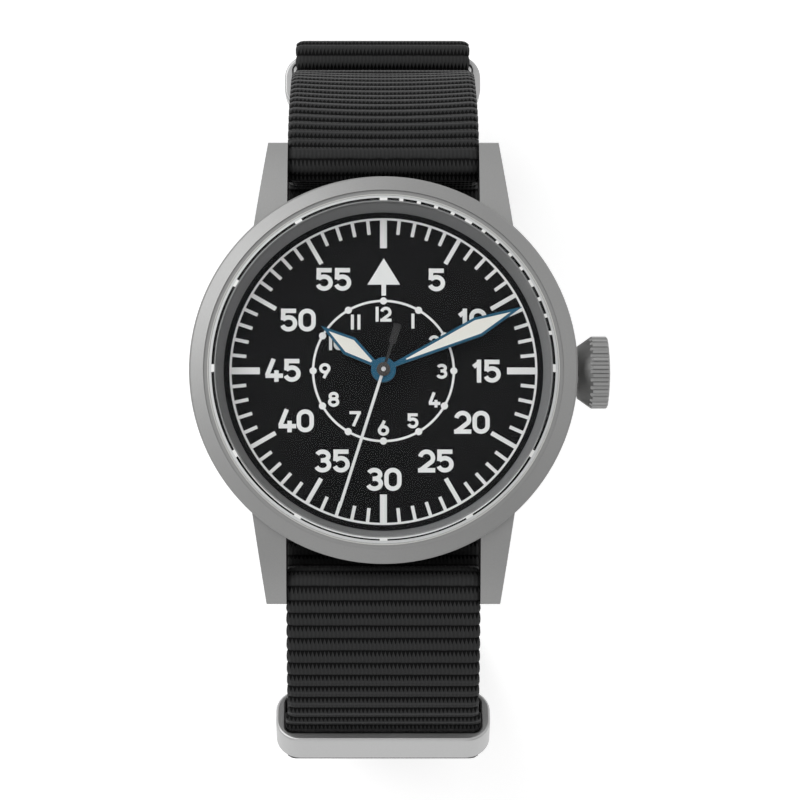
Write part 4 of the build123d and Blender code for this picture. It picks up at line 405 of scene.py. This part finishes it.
def webbingMaterial(look):
    material, tree, shader = newMaterial("webbingCloth", {
        "Metallic": 0.0, "Specular IOR Level": look["specular"],
        "Sheen Weight": look["sheen"], "Sheen Roughness": look["sheenRough"],
    })
    weave = placeGroup(tree, webWeave)
    # painted shade: the valleys between ribs are darkened
    body = mixColors(tree, weave["Valley"], look["crest"], look["low"])
    threads = mathNode(tree, "MULTIPLY", weave["Threads"], look["threadShare"])
    body = mixColors(tree, threads, body, look["low"])
    fuzzed = toned(look["crest"], look["fuzzTone"])
    body = mixColors(tree, mathNode(tree, "MULTIPLY", weave["Fuzz"], look["fuzzShare"]), body, fuzzed)
    # painted highlight on the crests of steep ribs
    body = mixColors(tree, weave["Crest"], body, look["crestHighlight"])
    # painted shade: the teeth turn near black
    body = mixColors(tree, weave["Teeth"], body, look["gap"])
    tree.links.new(body, shader.inputs["Base Color"])
    rough = mathNode(tree, "MULTIPLY_ADD", weave["Valley"], look["valleyRough"], look["rough"])
    tree.links.new(rough, shader.inputs["Roughness"])
    addRelief(tree, shader, weave["Height"], look["bump"], look["reliefDepth"])
    return material


materials["webbingCloth"] = webbingMaterial(yarnLook)


# routes of the straps in the plane of the loop, as (y, height) in mm

loopSizes = dict(
    barAt=22.2, barHeight=53.1, wrap=1.425, half=0.625, underHalf=0.55, layerStep=1.5, fabricGap=0.15,
    caseFloor=48.175, tailWall=36.7, facetStart=24.15, facetSlope=45,
    twelveSlope=36, twelveBend=27.6, twelveLowerSlope=60,
    sixSlope=23, sixBend=30.5, sixMiddleSlope=36, sixSecondBend=34.8, sixLowerSlope=54, sixWall=40.0,
    sixWallFoot=14.5, sixFacetStart=26.1,
    buckleBarAt=17.6, flapLift=1.65, flapRise=1.6, flapLength=3.6,
    foldWall=40.95, foldTop=23.6, foldLength=11.0,
    ringAlong=4.8, loopAcross=-2.675, loopAlong=2.55, returnAcross=-5.125, returnDrop=1.55, returnEnd=22.0,
    underTop=28.0, underFoot=35.4, underShoulder=20.5,
)
buckleRise = [(1.0, 0.625), (4.6, 2.35), (8.6, 3.1), (13.2, 0.625)]  # over the buckle's front bar


def strapRoutes(s):
    corner = s["barAt"] - s["wrap"]
    lowerFloor = s["half"] + s["layerStep"]
    heelTop = lowerFloor + 2 * s["wrap"]
    heelWall = s["buckleBarAt"] - s["wrap"]
    wall = s["tailWall"] - s["layerStep"]
    halfTurn = tan(radians(s["facetSlope"] / 2))
    inner = s["facetStart"] - s["layerStep"] * halfTurn
    flap = np.array((inner - s["flapLift"] * halfTurn, lowerFloor + s["flapLift"]))
    flapRun = s["flapLength"] * cos(radians(s["facetSlope"]))

    def top(side, slope):
        rise = s["wrap"] * (1 + sin(radians(slope))) / cos(radians(slope))
        return (side * corner, s["barHeight"] + rise)

    def down(start, slope, end):
        return (end, start[1] - abs(end - start[0]) * tan(radians(slope)))

    twelve = top(1, s["twelveSlope"])
    twelveMiddle = down(twelve, s["twelveSlope"], s["twelveBend"])
    six = top(-1, s["sixSlope"])
    sixUpper = down(six, s["sixSlope"], -s["sixBend"])
    sixMiddle = down(sixUpper, s["sixMiddleSlope"], -s["sixSecondBend"])
    sixFoot = down(sixMiddle, s["sixLowerSlope"], -s["sixWall"])
    main = [
        flap + flapRun, flap, (s["buckleBarAt"] + s["flapRise"], heelTop), (heelWall, heelTop),
        (heelWall, lowerFloor), (inner, lowerFloor), (wall, lowerFloor + wall - inner),
        down(twelveMiddle, s["twelveLowerSlope"], wall), twelveMiddle, twelve,
        (corner, s["caseFloor"]), (-corner, s["caseFloor"]), six, sixUpper, sixMiddle, sixFoot,
        (-s["sixWall"], s["sixWallFoot"]), (-s["sixFacetStart"], s["half"]), *buckleRise,
        (s["facetStart"], s["half"]),
        (s["tailWall"], s["half"] + s["tailWall"] - s["facetStart"]), (s["tailWall"], s["foldTop"]),
        (s["foldWall"], s["foldTop"]), (s["foldWall"], s["foldTop"] - s["foldLength"]),
    ]

    run = np.subtract(sixFoot, sixMiddle)
    run = run / np.hypot(*run)
    out = np.array((run[1], -run[0]))
    start = np.array(sixMiddle) + s["ringAlong"] * run
    layers = s["half"] + s["fabricGap"] + s["underHalf"]
    floor = s["caseFloor"] - layers
    returnFloor = floor - s["returnDrop"]
    loopFoot, returnFoot = start + s["loopAcross"] * out, start + s["returnAcross"] * out
    under = [
        (wall - layers, s["underTop"]), (wall - layers, s["underFoot"]), (s["underShoulder"], floor),
        loopFoot + run * (floor - loopFoot[1]) / run[1], loopFoot + s["loopAlong"] * run,
        returnFoot + s["loopAlong"] * run, returnFoot + run * (returnFloor - returnFoot[1]) / run[1],
        (-s["returnEnd"], returnFloor),
    ]
    return np.round(main, 3), np.round(under, 3)


def routeRuns(points, radii):
    runs, here = [], points[0]
    for index in range(1, len(points) - 1):
        corner = points[index]
        before, after = corner - points[index - 1], points[index + 1] - corner
        before, after = before / np.hypot(*before), after / np.hypot(*after)
        turn = atan2(before[0] * after[1] - before[1] * after[0], before @ after)
        radius = radii[index - 1]
        reach = radius * tan(abs(turn) / 2)
        enter, leave = corner - before * reach, corner + after * reach
        runs.append((here, before, np.hypot(*(enter - here)), 0, 0))
        runs.append((enter, before, radius * abs(turn), radius, 1 if turn > 0 else -1))
        here = leave
    last = points[-1] - here
    runs.append((here, last / np.hypot(*last), np.hypot(*last), 0, 0))
    return runs


def turnedBy(vector, angle):
    x, y = vector
    return np.array((x * cos(angle) - y * sin(angle), x * sin(angle) + y * cos(angle)))


def routePlaces(points, radii, step):
    runs = routeRuns(points, radii)
    total = sum(run[2] for run in runs)
    gone = np.linspace(0, total, int(round(total / step)) + 1)
    places, headings = [], []
    which, start = 0, 0.0
    for distance in gone:
        while which < len(runs) - 1 and distance > start + runs[which][2]:
            start += runs[which][2]
            which += 1
        origin, heading, length, radius, side = runs[which]
        if side == 0:
            places.append(origin + heading * (distance - start))
            headings.append(heading)
            continue
        angle = side * (distance - start) / radius
        middle = origin + np.array((-heading[1], heading[0])) * side * radius
        places.append(middle + turnedBy(origin - middle, angle))
        headings.append(turnedBy(heading, angle))
    return np.array(places), np.array(headings), gone


# webbing as a ribbed mesh along its route, with scalloped edges, slots and holes

ribForm = dict(
    rowsPerRib=10, columns=49, roundness=2.6, edge=0.9, edgeSink=0.5, edgeThin=0.42, edgeScallop=0.02,
    steepFrom=0.2, steepSpan=0.6, endRoom=0.0004, cupRoundness=0.8, pullFrom=0.5, pullTo=1.45,
)
mainRoute, underRoute = strapRoutes(loopSizes)
holeDatum, holePitch, holeShares = 10.9, 6.5, (-3, -2, -1, 1)
mainStrap = dict(
    route=mainRoute,
    radii=[
        4, 3, 1.375, 1.375, 10.5, 10.5, 25, 20, 1.425, 1.6, 1.6, 1.425, 20, 9, 14, 6, 6,
        3, 8, 3.5, 5, 12, 12, 1.9, 1.9,
    ],
    width=19.97, halfThickness=0.40, ribHeight=0.235, scallop=0.18, roundedEnd=True,
    lugReach=24.2, lugFloor=50.0, freeRoom=0.07, shadeRoom=0.22, ringFrom=35.6, ringFloor=26.0, ringRoom=0.33,
    cup=dict(low=22.5, high=36.0, depth=0.4, above=38.0),
    slots=[
        dict(low=8.9, high=14.0, half=1.15, above=0.0, below=4.2),
        dict(low=15.0, high=20.4, half=1.15, above=1.5, below=5.6),
    ],
    holes=[
        dict(at=holeDatum + share * holePitch, radius=0.85, above=0.0, below=1.4 if share > 0 else 4.2)
        for share in holeShares
    ],
)
underStrap = dict(
    route=underRoute, radii=[8, 8, 2.4, 1.1, 1.1, 1.5],
    width=19.9, halfThickness=0.36, ribHeight=0.18, scallop=0.12, roundedEnd=False,
    lugReach=24.2, lugFloor=50.0, freeRoom=0.0, shadeRoom=0.2, ringFrom=33.0, ringFloor=30.0, ringRoom=0.2,
    cup=None, slots=[], holes=[],
)


def webWidths(values, y, z, rib, fromEnd):
    half = values["width"] / 2
    free = (np.abs(y) > values["lugReach"]) | (z < values["lugFloor"])
    inRing = (y < -values["ringFrom"]) & (z > values["ringFloor"])
    shaded = (np.abs(y) < values["lugReach"]) & (z < values["lugFloor"]) & (z > values["ringFloor"])
    room = np.where(inRing, values["ringRoom"], np.where(free, values["freeRoom"], 0.0))
    room = np.where(shaded, values["shadeRoom"], room)
    scallop = np.where(free & ~shaded & ~inRing, values["scallop"], ribForm["edgeScallop"])
    widths = half + room - scallop * (1 - rib)
    if values["roundedEnd"]:
        inside = np.clip(half - fromEnd, 0, half)
        rounding = np.sqrt(np.maximum(half ** 2 - inside ** 2, ribForm["endRoom"]))
        widths = np.where(inside > 0, np.minimum(widths, rounding), widths)
    return widths


def webLayers(values):
    places, headings, gone = routePlaces(values["route"], values["radii"], ribPitch / ribForm["rowsPerRib"])
    y, z = places[:, 0], places[:, 1]
    half, edge = values["width"] / 2, ribForm["edge"]
    columns = np.linspace(-1, 1, ribForm["columns"])
    rib = 1 - np.abs(2 * np.abs(np.mod(gone / ribPitch, 1.0) - 0.5)) ** ribForm["roundness"]
    across = columns[None, :] * webWidths(values, y, z, rib, gone[-1] - gone)[:, None]
    edgeShare = np.clip((np.abs(columns) * half - (half - edge)) / edge, 0, 1)[None, :]
    swell = values["ribHeight"] * rib[:, None] * (1 - ribForm["edgeSink"] * edgeShare ** 2)
    thick = (values["halfThickness"] + swell) * (1 - ribForm["edgeThin"] * edgeShare ** 3)
    sag = np.zeros(len(gone))
    if values["cup"]:
        cup = values["cup"]
        share = np.clip((y - cup["low"]) / (cup["high"] - cup["low"]), 0, 1)
        sag = cup["depth"] * np.sin(pi * share) ** ribForm["cupRoundness"] * (z > cup["above"])
    cupping = sag[:, None] * (1 - columns[None, :] ** 2)
    layers = []
    for side in (1, -1):
        shift = side * thick + cupping
        layers.append(np.stack((
            across, places[:, 0:1] - headings[:, 1:2] * shift, places[:, 1:2] + headings[:, 0:1] * shift,
        ), axis=2).reshape(-1, 3))
    # how steeply the webbing falls away; it sets where the painted shade and highlight go
    steep = np.clip((np.abs(headings[:, 1]) - ribForm["steepFrom"]) / ribForm["steepSpan"], 0, 1) * np.sign(y)
    rows = [np.broadcast_to(line[:, None], across.shape) for line in (gone, steep)]
    weave = np.stack((across, *rows), axis=2).reshape(-1, 3)
    return places, across, np.concatenate(layers), np.concatenate((weave, weave))


def cutCells(values, places, across):
    middleX = (across[:-1, :-1] + across[1:, 1:]) / 2
    y = ((places[:-1, 0] + places[1:, 0]) / 2)[:, None]
    z = ((places[:-1, 1] + places[1:, 1]) / 2)[:, None]
    removed = np.zeros(middleX.shape, bool)
    for slot in values["slots"]:
        within = (y > slot["low"]) & (y < slot["high"]) & (z > slot["above"]) & (z < slot["below"])
        removed |= (np.abs(middleX) < slot["half"]) & within
    for hole in values["holes"]:
        within = (z > hole["above"]) & (z < hole["below"])
        removed |= (middleX ** 2 + (y - hole["at"]) ** 2 < hole["radius"] ** 2) & within
    return removed


def roundHoles(values, places, points, walls, columns):
    # pull the stepped rim of each hole onto its circle
    moves = {}
    for hole in values["holes"]:
        for corner in {corner for wall in walls for corner in wall}:
            reach = hypot(points[corner][0], places[corner // columns][0] - hole["at"])
            near = hole["radius"] * ribForm["pullFrom"] < reach < hole["radius"] * ribForm["pullTo"]
            if near and hole["above"] < points[corner][2] < hole["below"]:
                moves[corner] = (hole["at"], hole["radius"] / reach)
    for corner, (centre, factor) in moves.items():
        for at in (corner, corner + len(points) // 2):
            points[at][0] *= factor
            points[at][1] = centre + (points[at][1] - centre) * factor


def weaveStrap(name, values):
    places, across, points, weave = webLayers(values)
    removed = cutCells(values, places, across)
    rows, columns = across.shape
    offset = rows * columns
    index = np.arange(offset).reshape(rows, columns)
    faces, used = [], {}
    for r in range(rows - 1):
        for c in range(columns - 1):
            if removed[r, c]:
                continue
            a, b, d, e = index[r, c], index[r, c + 1], index[r + 1, c + 1], index[r + 1, c]
            faces.append((a, b, d, e))
            faces.append((offset + e, offset + d, offset + b, offset + a))
            for edge in ((a, b), (b, d), (d, e), (e, a)):
                used[edge] = True
    walls = [(one, other) for one, other in used if (other, one) not in used]
    for one, other in walls:
        faces.append((other, one, offset + one, offset + other))
    roundHoles(values, places, points, walls, columns)
    mesh = bpy.data.meshes.new(name)
    mesh.from_pydata((points * mm).tolist(), [], faces)
    attribute = mesh.attributes.new("weavePlace", "FLOAT_VECTOR", "POINT")
    attribute.data.foreach_set("vector", weave.astype(np.float32).ravel())
    mesh.shade_smooth()
    mesh.update()
    loose = bmesh.new()
    loose.from_mesh(mesh)
    bmesh.ops.delete(loose, geom=[v for v in loose.verts if not v.link_faces], context="VERTS")
    bmesh.ops.recalc_face_normals(loose, faces=loose.faces)
    loose.to_mesh(mesh)
    loose.free()
    return addPiece(name, mesh, ["webbingCloth"])


for name, node, values in (("strapWeb", "strap_main", mainStrap), ("underWeb", "under_strap", underStrap)):
    piece = weaveStrap(name, values)
    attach(piece, "watch")
    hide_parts(node)
print("webbing woven")


# white print of the dial

dialPrint = dict(
    floor=55.0, rise=0.022, lift=0.00004, trackRadius=15.77, trackWidth=0.23,
    minuteLength=1.55, minuteWidth=0.355, fiveLength=2.95, fiveWidth=0.455,
    quarterInner=12.74, quarterWidth=0.71,
    hourRadius=7.25, hourWidth=0.24, dotRadius=0.37, oneWidth=0.42,
    big=dict(
        height=2.37, width=1.78, stroke=0.455, pitch=1.90, oneGap=0.24, plain=False,
        places={
            "55": (-5.17, 9.49), "50": (-8.83, 5.26), "45": (-10.37, 0.05), "40": (-9.0, -5.16),
            "35": (-5.3, -9.3), "30": (0.02, -11.19), "25": (5.38, -9.3), "20": (9.1, -5.31),
            "15": (10.58, -0.03), "10": (9.13, 5.27), "5": (5.48, 9.44),
        },
    ),
    small=dict(
        height=1.55, width=1.17, stroke=0.315, pitch=1.24, oneGap=0.16, elevenGap=0.36, plain=True,
        places={
            "12": (0.01, 5.87), "1": (3.04, 5.16), "2": (5.24, 2.91), "3": (6.0, -0.05),
            "4": (5.22, -3.01), "5": (3.02, -5.16), "6": (0.0, -5.93), "7": (-2.91, -4.94),
            "8": (-5.13, -2.95), "9": (-6.04, 0.02), "10": (-4.79, 2.91), "11": (-2.87, 5.05),
        },
    ),
    arrow=[(0.03, 11.69), (-1.66, 8.94), (1.72, 8.94)], stem=[(0.03, 8.94), (0.03, 7.8)], stemWidth=0.47,
    trackSteps=240, hourSteps=150, dotSteps=28,
)

# places on each digit as shares of its width and height, and bends in degrees

digitShares = {
    "0": dict(rise=0.47),
    "1": dict(stem=0.42, flagLow=0.73, flagHigh=0.955),
    "2": dict(bowl=0.98, turn=(168, -32), foot=(0.06, 0.02), inset=0.95),
    "3": dict(upper=0.235, lower=0.275, narrow=0.90, turns=(158, -162), waist=0.36, waistEnd=0.01),
    "4": dict(top=0.50, slant=(0.10, 0.23), bar=(0.13, 1.06, 0.21), stem=(0.72, 0.50)),
    "5": dict(
        bowl=0.325, flag=(0.97, 0.6, 0.07), back=(0.10, 0.05, 0.50), rise=0.53,
        wide=(0.98, 1.02), turn=(118, -160),
    ),
    "7": dict(lap=(0.1, 0.2), foot=0.28),
    "8": dict(upper=0.235, lower=0.275, narrow=0.86),
    "6": dict(bowl=0.315, arm=[(0.02, 0.3465), (0.16, 0.56), (0.42, 0.84)], armEnd=0.62),
}


def bend(centre, radius, start, end, steps=14):
    angles = np.linspace(radians(start), radians(end), steps + 1)
    rx, ry = radius if isinstance(radius, tuple) else (radius, radius)
    return [(centre[0] + rx * cos(a), centre[1] + ry * sin(a)) for a in angles]


def numeral(digit, w, h, t, plain):
    # centre lines in a box w by h, pen width t, as (points, closed) pairs
    r, e = w / 2, t / 2
    s = digitShares["6" if digit == "9" else digit]
    if digit == "0":
        rise = w * s["rise"]
        return [(bend((r, h - rise), (r, rise), 0, 180) + bend((r, rise), (r, rise), 180, 360), True)]
    if digit == "1":
        if plain:
            return [([(0, -e), (0, h + e)], False)]
        stem = w * s["stem"]
        flag = [(0, h * s["flagLow"]), (stem, h * s["flagHigh"])]
        return [([(stem, -e), (stem, h + e)], False), (flag, False)]
    if digit == "2":
        bowl = r * s["bowl"]
        foot = (w * s["foot"][0], h * s["foot"][1])
        return [
            (bend((r, h - bowl), (r, bowl), *s["turn"]) + [foot], False),
            ([(-e * s["inset"], 0), (w + e, 0)], False),
        ]
    if digit == "3":
        up, low = h * s["upper"], h * s["lower"]
        waist = h - 2 * up
        return [
            (bend((r, h - up), (r * s["narrow"], up), s["turns"][0], -90), False),
            (bend((r, low), (r, low), 90, s["turns"][1]), False),
            ([(w * s["waist"], waist), (r + s["waistEnd"], waist)], False),
        ]
    if digit == "4":
        left, right, level = s["bar"]
        return [
            ([(w * s["top"], h + e), (e / 2 - w * s["slant"][0], h * s["slant"][1])], False),
            ([(-w * left, h * level), (w * right + e, h * level)], False),
            ([(w * s["stem"][0], h * s["stem"][1]), (w * s["stem"][0], -e)], False),
        ]
    if digit == "5":
        low = h * s["bowl"]
        right, lap, left = s["flag"]
        top, foot, level = s["back"]
        wide = (r * s["wide"][1], low)
        return [
            ([(w * right + e * lap, h), (w * left - e, h)], False),
            ([(w * top, h + e), (w * foot, h * level)], False),
            ([(w * foot, h * s["rise"])] + bend((r * s["wide"][0], low), wide, *s["turn"], 22), False),
        ]
    if digit == "7":
        right, high = w + e * s["lap"][0], h + e * s["lap"][1]
        return [([(-e, h), (w + e, h)], False), ([(right, high), (w * s["foot"], -e)], False)]
    if digit == "8":
        up, low = h * s["upper"], h * s["lower"]
        return [
            (bend((r, h - up), (r * s["narrow"], up), 0, 360, 22), True),
            (bend((r, low), (r, low), 0, 360, 24), True),
        ]
    low = h * s["bowl"]
    ring = (bend((r, low), (r, low), 0, 360, 24), True)
    arm = ([(w * x, h * y) for x, y in s["arm"]] + [(w * s["armEnd"], h + e)], False)
    if digit == "6":
        return [ring, arm]
    return [([(w - x, h - y) for x, y in points], closed) for points, closed in (ring, arm)]  # a turned six


def pressStroke(made, line, width, floor, top, closed=False):
    mostStretch, touching = 2, 1e-6
    points = [Vector((p[0], p[1])) for p in line]
    if closed and (points[0] - points[-1]).length < touching:
        points.pop()
    count = len(points)
    rims = []
    for i, point in enumerate(points):
        ways = []
        if i > 0 or closed:
            ways.append((point - points[i - 1]).normalized())
        if i < count - 1 or closed:
            ways.append((points[(i + 1) % count] - point).normalized())
        mean = sum(ways, Vector((0, 0))).normalized()
        side = Vector((-mean.y, mean.x))
        stretch = 1 / max(1 / mostStretch, side.dot(Vector((-ways[0].y, ways[0].x))))
        rims.append((point + side * width / 2 * stretch, point - side * width / 2 * stretch))
    verts = []
    for rim in rims:
        verts.append([made.verts.new((p.x * mm, p.y * mm, z * mm)) for z in (top, floor) for p in rim])
    for i in range(count if closed else count - 1):
        a, b = verts[i], verts[(i + 1) % count]
        made.faces.new((a[0], b[0], b[1], a[1]))
        made.faces.new((a[2], b[2], b[0], a[0]))
        made.faces.new((a[1], b[1], b[3], a[3]))
    if not closed:
        for end in (verts[0], verts[-1]):
            made.faces.new((end[0], end[1], end[3], end[2]))


def pressShape(made, outline, floor, top):
    upper = [made.verts.new((x * mm, y * mm, top * mm)) for x, y in outline]
    lower = [made.verts.new((x * mm, y * mm, floor * mm)) for x, y in outline]
    made.faces.new(upper)
    for i in range(len(outline)):
        j = (i + 1) % len(outline)
        made.faces.new((upper[i], lower[i], lower[j], upper[j]))


def printDial(values):
    made = bmesh.new()
    floor = values["floor"]
    layer = [0]

    def top():
        layer[0] += 1  # each stroke lies a hair above the one before
        return floor + values["rise"] + layer[0] * values["lift"]

    outer = values["trackRadius"]
    track = bend((0, 0), outer, 0, 360, values["trackSteps"])
    pressStroke(made, track, values["trackWidth"], floor, top(), True)
    for minute in range(60):
        inner, width = outer - values["minuteLength"], values["minuteWidth"]
        if minute % 15 == 0:
            inner, width = values["quarterInner"], values["quarterWidth"]
        elif minute % 5 == 0:
            inner, width = outer - values["fiveLength"], values["fiveWidth"]
        angle = radians(minute * 6)
        ray = Vector((sin(angle), cos(angle)))
        pressStroke(made, [ray * inner, ray * outer], width, floor, top())
    reach = values["hourRadius"]
    circle = bend((0, 0), reach, 0, 360, values["hourSteps"])
    pressStroke(made, circle, values["hourWidth"], floor, top(), True)
    for hour in range(12):
        angle = radians(hour * 30)
        dot = bend((reach * sin(angle), reach * cos(angle)), values["dotRadius"], 0, 360, values["dotSteps"])
        pressShape(made, dot[:-1], floor, top())
    for size in (values["big"], values["small"]):
        stroke = size["stroke"]
        w, h = size["width"] - stroke, size["height"] - stroke
        one = stroke if size["plain"] else w * values["oneWidth"] + stroke
        for text, (x, y) in size["places"].items():
            widths = [one if digit == "1" else w + stroke for digit in text]
            gap = size["oneGap"] if "1" in text else size["pitch"] - w - stroke
            if text == "11":
                gap = size["elevenGap"]
            left = x - (sum(widths) + gap * (len(text) - 1)) / 2
            for digit, span in zip(text, widths):
                for points, closed in numeral(digit, w, h, stroke, size["plain"]):
                    placed = [(left + stroke / 2 + px, y - h / 2 + py) for px, py in points]
                    pressStroke(made, placed, stroke, floor, top(), closed)
                left += span + gap
    pressShape(made, values["arrow"], floor, top())
    pressStroke(made, values["stem"], values["stemWidth"], floor, top())
    bmesh.ops.recalc_face_normals(made, faces=made.faces)
    mesh = bpy.data.meshes.new("dialPrint")
    made.to_mesh(mesh)
    made.free()
    return addPiece("dialPrint", mesh, ["dialWhite"])


printed = printDial(dialPrint)
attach(printed, "watch")
print("dial printed")


# ground edge of the crystal, as (radius, height), with the minute marks that it catches; its strips are
# painted reflections: a bright ring, a dark line and a grey band

crystalEdge = dict(
    outer=(17.95, 58.27), inner=(17.66, 58.537), lip=(17.51, 58.675),
    rim=(17.36, 58.813), rimInner=(17.25, 58.860),
    lift=0.012, fiveDash=0.8, minuteDash=0.42, marks=13, dashSteps=4,
)


def spinStrip(made, low, high, material, middle=0.0, span=360.0, steps=360):
    whole = span == 360.0
    turns = [radians(middle + span * (i / steps - 0.5)) for i in range(steps if whole else steps + 1)]
    rims = []
    for radius, height in (low, high):
        places = [(radius * sin(a) * mm, radius * cos(a) * mm, height * mm) for a in turns]
        rims.append([made.verts.new(place) for place in places])
    for i in range(steps):
        j = (i + 1) % len(turns)
        face = made.faces.new((rims[0][i], rims[1][i], rims[1][j], rims[0][j]))
        face.material_index = material
        face.smooth = True


def paintCrystalEdge(values):
    made = bmesh.new()
    # painted reflections: a bright ring, a dark line and a grey band
    spinStrip(made, values["outer"], values["inner"], 0)
    spinStrip(made, values["inner"], values["lip"], 1)
    spinStrip(made, values["rim"], values["rimInner"], 3)
    # painted reflections of the minute marks in the crystal's edge
    low, high = [(radius, height + values["lift"]) for radius, height in (values["inner"], values["rim"])]
    for minute in range(60):
        if minute % 5 and minute > values["marks"]:
            continue
        width = values["minuteDash"] if minute % 5 else values["fiveDash"]
        span = width / values["inner"][0] * 180 / pi
        spinStrip(made, low, high, 2, minute * 6, span, values["dashSteps"])
    mesh = bpy.data.meshes.new("crystalBevel")
    made.to_mesh(mesh)
    made.free()
    return addPiece("crystalBevel", mesh, ["bevelReflection", "dialBlack", "dialWhite", "rimGlass"])


bevel = paintCrystalEdge(crystalEdge)
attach(bevel, "watch")
print("crystal edge ground")


# floor, light and camera

floorSheet = dict(
    size=1.6, drop=0.00005, color=(0.84, 0.84, 0.84), spread=0.005,
    rough=0.9, grain=2.0, depth=0.2, lift=0.48,
)
mesh = bpy.data.meshes.new("floorSheet")
reach = floorSheet["size"] / 2
corners = [(-reach, -reach, 0), (reach, -reach, 0), (reach, reach, 0), (-reach, reach, 0)]
mesh.from_pydata(corners, [], [(0, 1, 2, 3)])
floorPiece = addPiece("floorSheet", mesh, [])
floorPiece.location.z = -floorSheet["drop"]
sockets = {"Roughness": floorSheet["rough"], "Specular IOR Level": 0.0}
floorMaterial, tree, shader = newMaterial("floorPaper", sockets)
paper = placeGroup(tree, fineGrain, {"Grain Size": floorSheet["grain"], "Depth": floorSheet["depth"]})
shades = [toned(floorSheet["color"], 1 + side * floorSheet["spread"]) for side in (-1, 1)]
tree.links.new(mixColors(tree, paper["Tone"], *shades), shader.inputs["Base Color"])
glow = addNode(tree, "ShaderNodeEmission", {"Color": (1, 1, 1, 1)})
path = addNode(tree, "ShaderNodeLightPath")
seen = mathNode(tree, "MAXIMUM", path.outputs["Is Camera Ray"], path.outputs["Is Glossy Ray"])
seen = mathNode(tree, "MAXIMUM", seen, path.outputs["Is Transmission Ray"])
tree.links.new(mathNode(tree, "MULTIPLY", seen, floorSheet["lift"]), glow.inputs["Strength"])
both = addNode(tree, "ShaderNodeAddShader", {}, {0: shader.outputs[0], 1: glow.outputs[0]})
tree.links.new(both.outputs[0], tree.nodes["Material Output"].inputs["Surface"])
mesh.materials.append(floorMaterial)

skyLight = dict(diffuse=0.63, bright=0.87, slope=0.35, towards=(-0.55, 0.45, 0.0))
world = bpy.data.worlds.new("studioSky")
bpy.context.scene.world = world
world.use_nodes = True
tree = world.node_tree
back = tree.nodes["Background"]
back.inputs["Color"].default_value = (1, 1, 1, 1)
path = addNode(tree, "ShaderNodeLightPath")
direction = addNode(tree, "ShaderNodeTexCoord").outputs["Generated"]
lean = addNode(
    tree, "ShaderNodeVectorMath", {"operation": "DOT_PRODUCT", 1: skyLight["towards"]}, {0: direction},
).outputs["Value"]
glossy = mathNode(tree, "MULTIPLY_ADD", lean, skyLight["slope"], skyLight["bright"], clamp=True)
flags = mathNode(tree, "MAXIMUM", path.outputs["Is Camera Ray"], path.outputs["Is Transmission Ray"])
level = mathNode(tree, "MAXIMUM", flags, mathNode(tree, "MULTIPLY", path.outputs["Is Glossy Ray"], glossy))
direct = mathNode(tree, "LESS_THAN", path.outputs["Diffuse Depth"], 0.5)  # after a matt surface it stays soft
level = mathNode(tree, "MULTIPLY", level, direct)
tree.links.new(mathNode(tree, "MAXIMUM", level, skyLight["diffuse"]), back.inputs["Strength"])

lampAim = (0, 0, 0.05)
lamps = dict(
    keyLamp=dict(place=(-0.30, 0.24, 0.44), size=0.46, power=1.05),
    fillLamp=dict(place=(0.34, 0.05, 0.34), size=0.40, power=0.14),
    frontLamp=dict(place=(-0.04, -0.40, 0.30), size=0.40, power=0.22),
)
for name, values in lamps.items():
    lamp = bpy.data.lights.new(name, "AREA")
    lamp.shape = "DISK"
    lamp.size = values["size"]
    lamp.energy = values["power"]
    lampObject = bpy.data.objects.new(name, lamp)
    bpy.context.scene.collection.objects.link(lampObject)
    lampObject.location = values["place"]
    aim = Vector(lampAim) - Vector(values["place"])
    lampObject.rotation_euler = aim.to_track_quat("-Z", "Y").to_euler()

viewpoint = dict(
    away=(-0.003, -0.091, 1.0), distance=0.300, aim=(0, 0, 0.058),
    sensor=36, lens=131.4, shiftX=0.0206, shiftY=-0.0391, near=0.01,
)
camera = bpy.data.cameras.new("photoCamera")
camera.sensor_width = viewpoint["sensor"]
camera.lens = viewpoint["lens"]
camera.shift_x = viewpoint["shiftX"]
camera.shift_y = viewpoint["shiftY"]
camera.clip_start = viewpoint["near"]
cameraObject = bpy.data.objects.new("photoCamera", camera)
bpy.context.scene.collection.objects.link(cameraObject)
away = Vector(viewpoint["away"]).normalized()
up = (Vector((0, 1, 0)) - away * away.y).normalized()
right = up.cross(away)
turned = Matrix((right, up, away)).transposed().to_4x4()
turned.translation = Vector(viewpoint["aim"]) + away * viewpoint["distance"]
cameraObject.matrix_world = turned
bpy.context.scene.camera = cameraObject
bpy.context.scene.view_settings.view_transform = "Standard"
print("light and camera set")
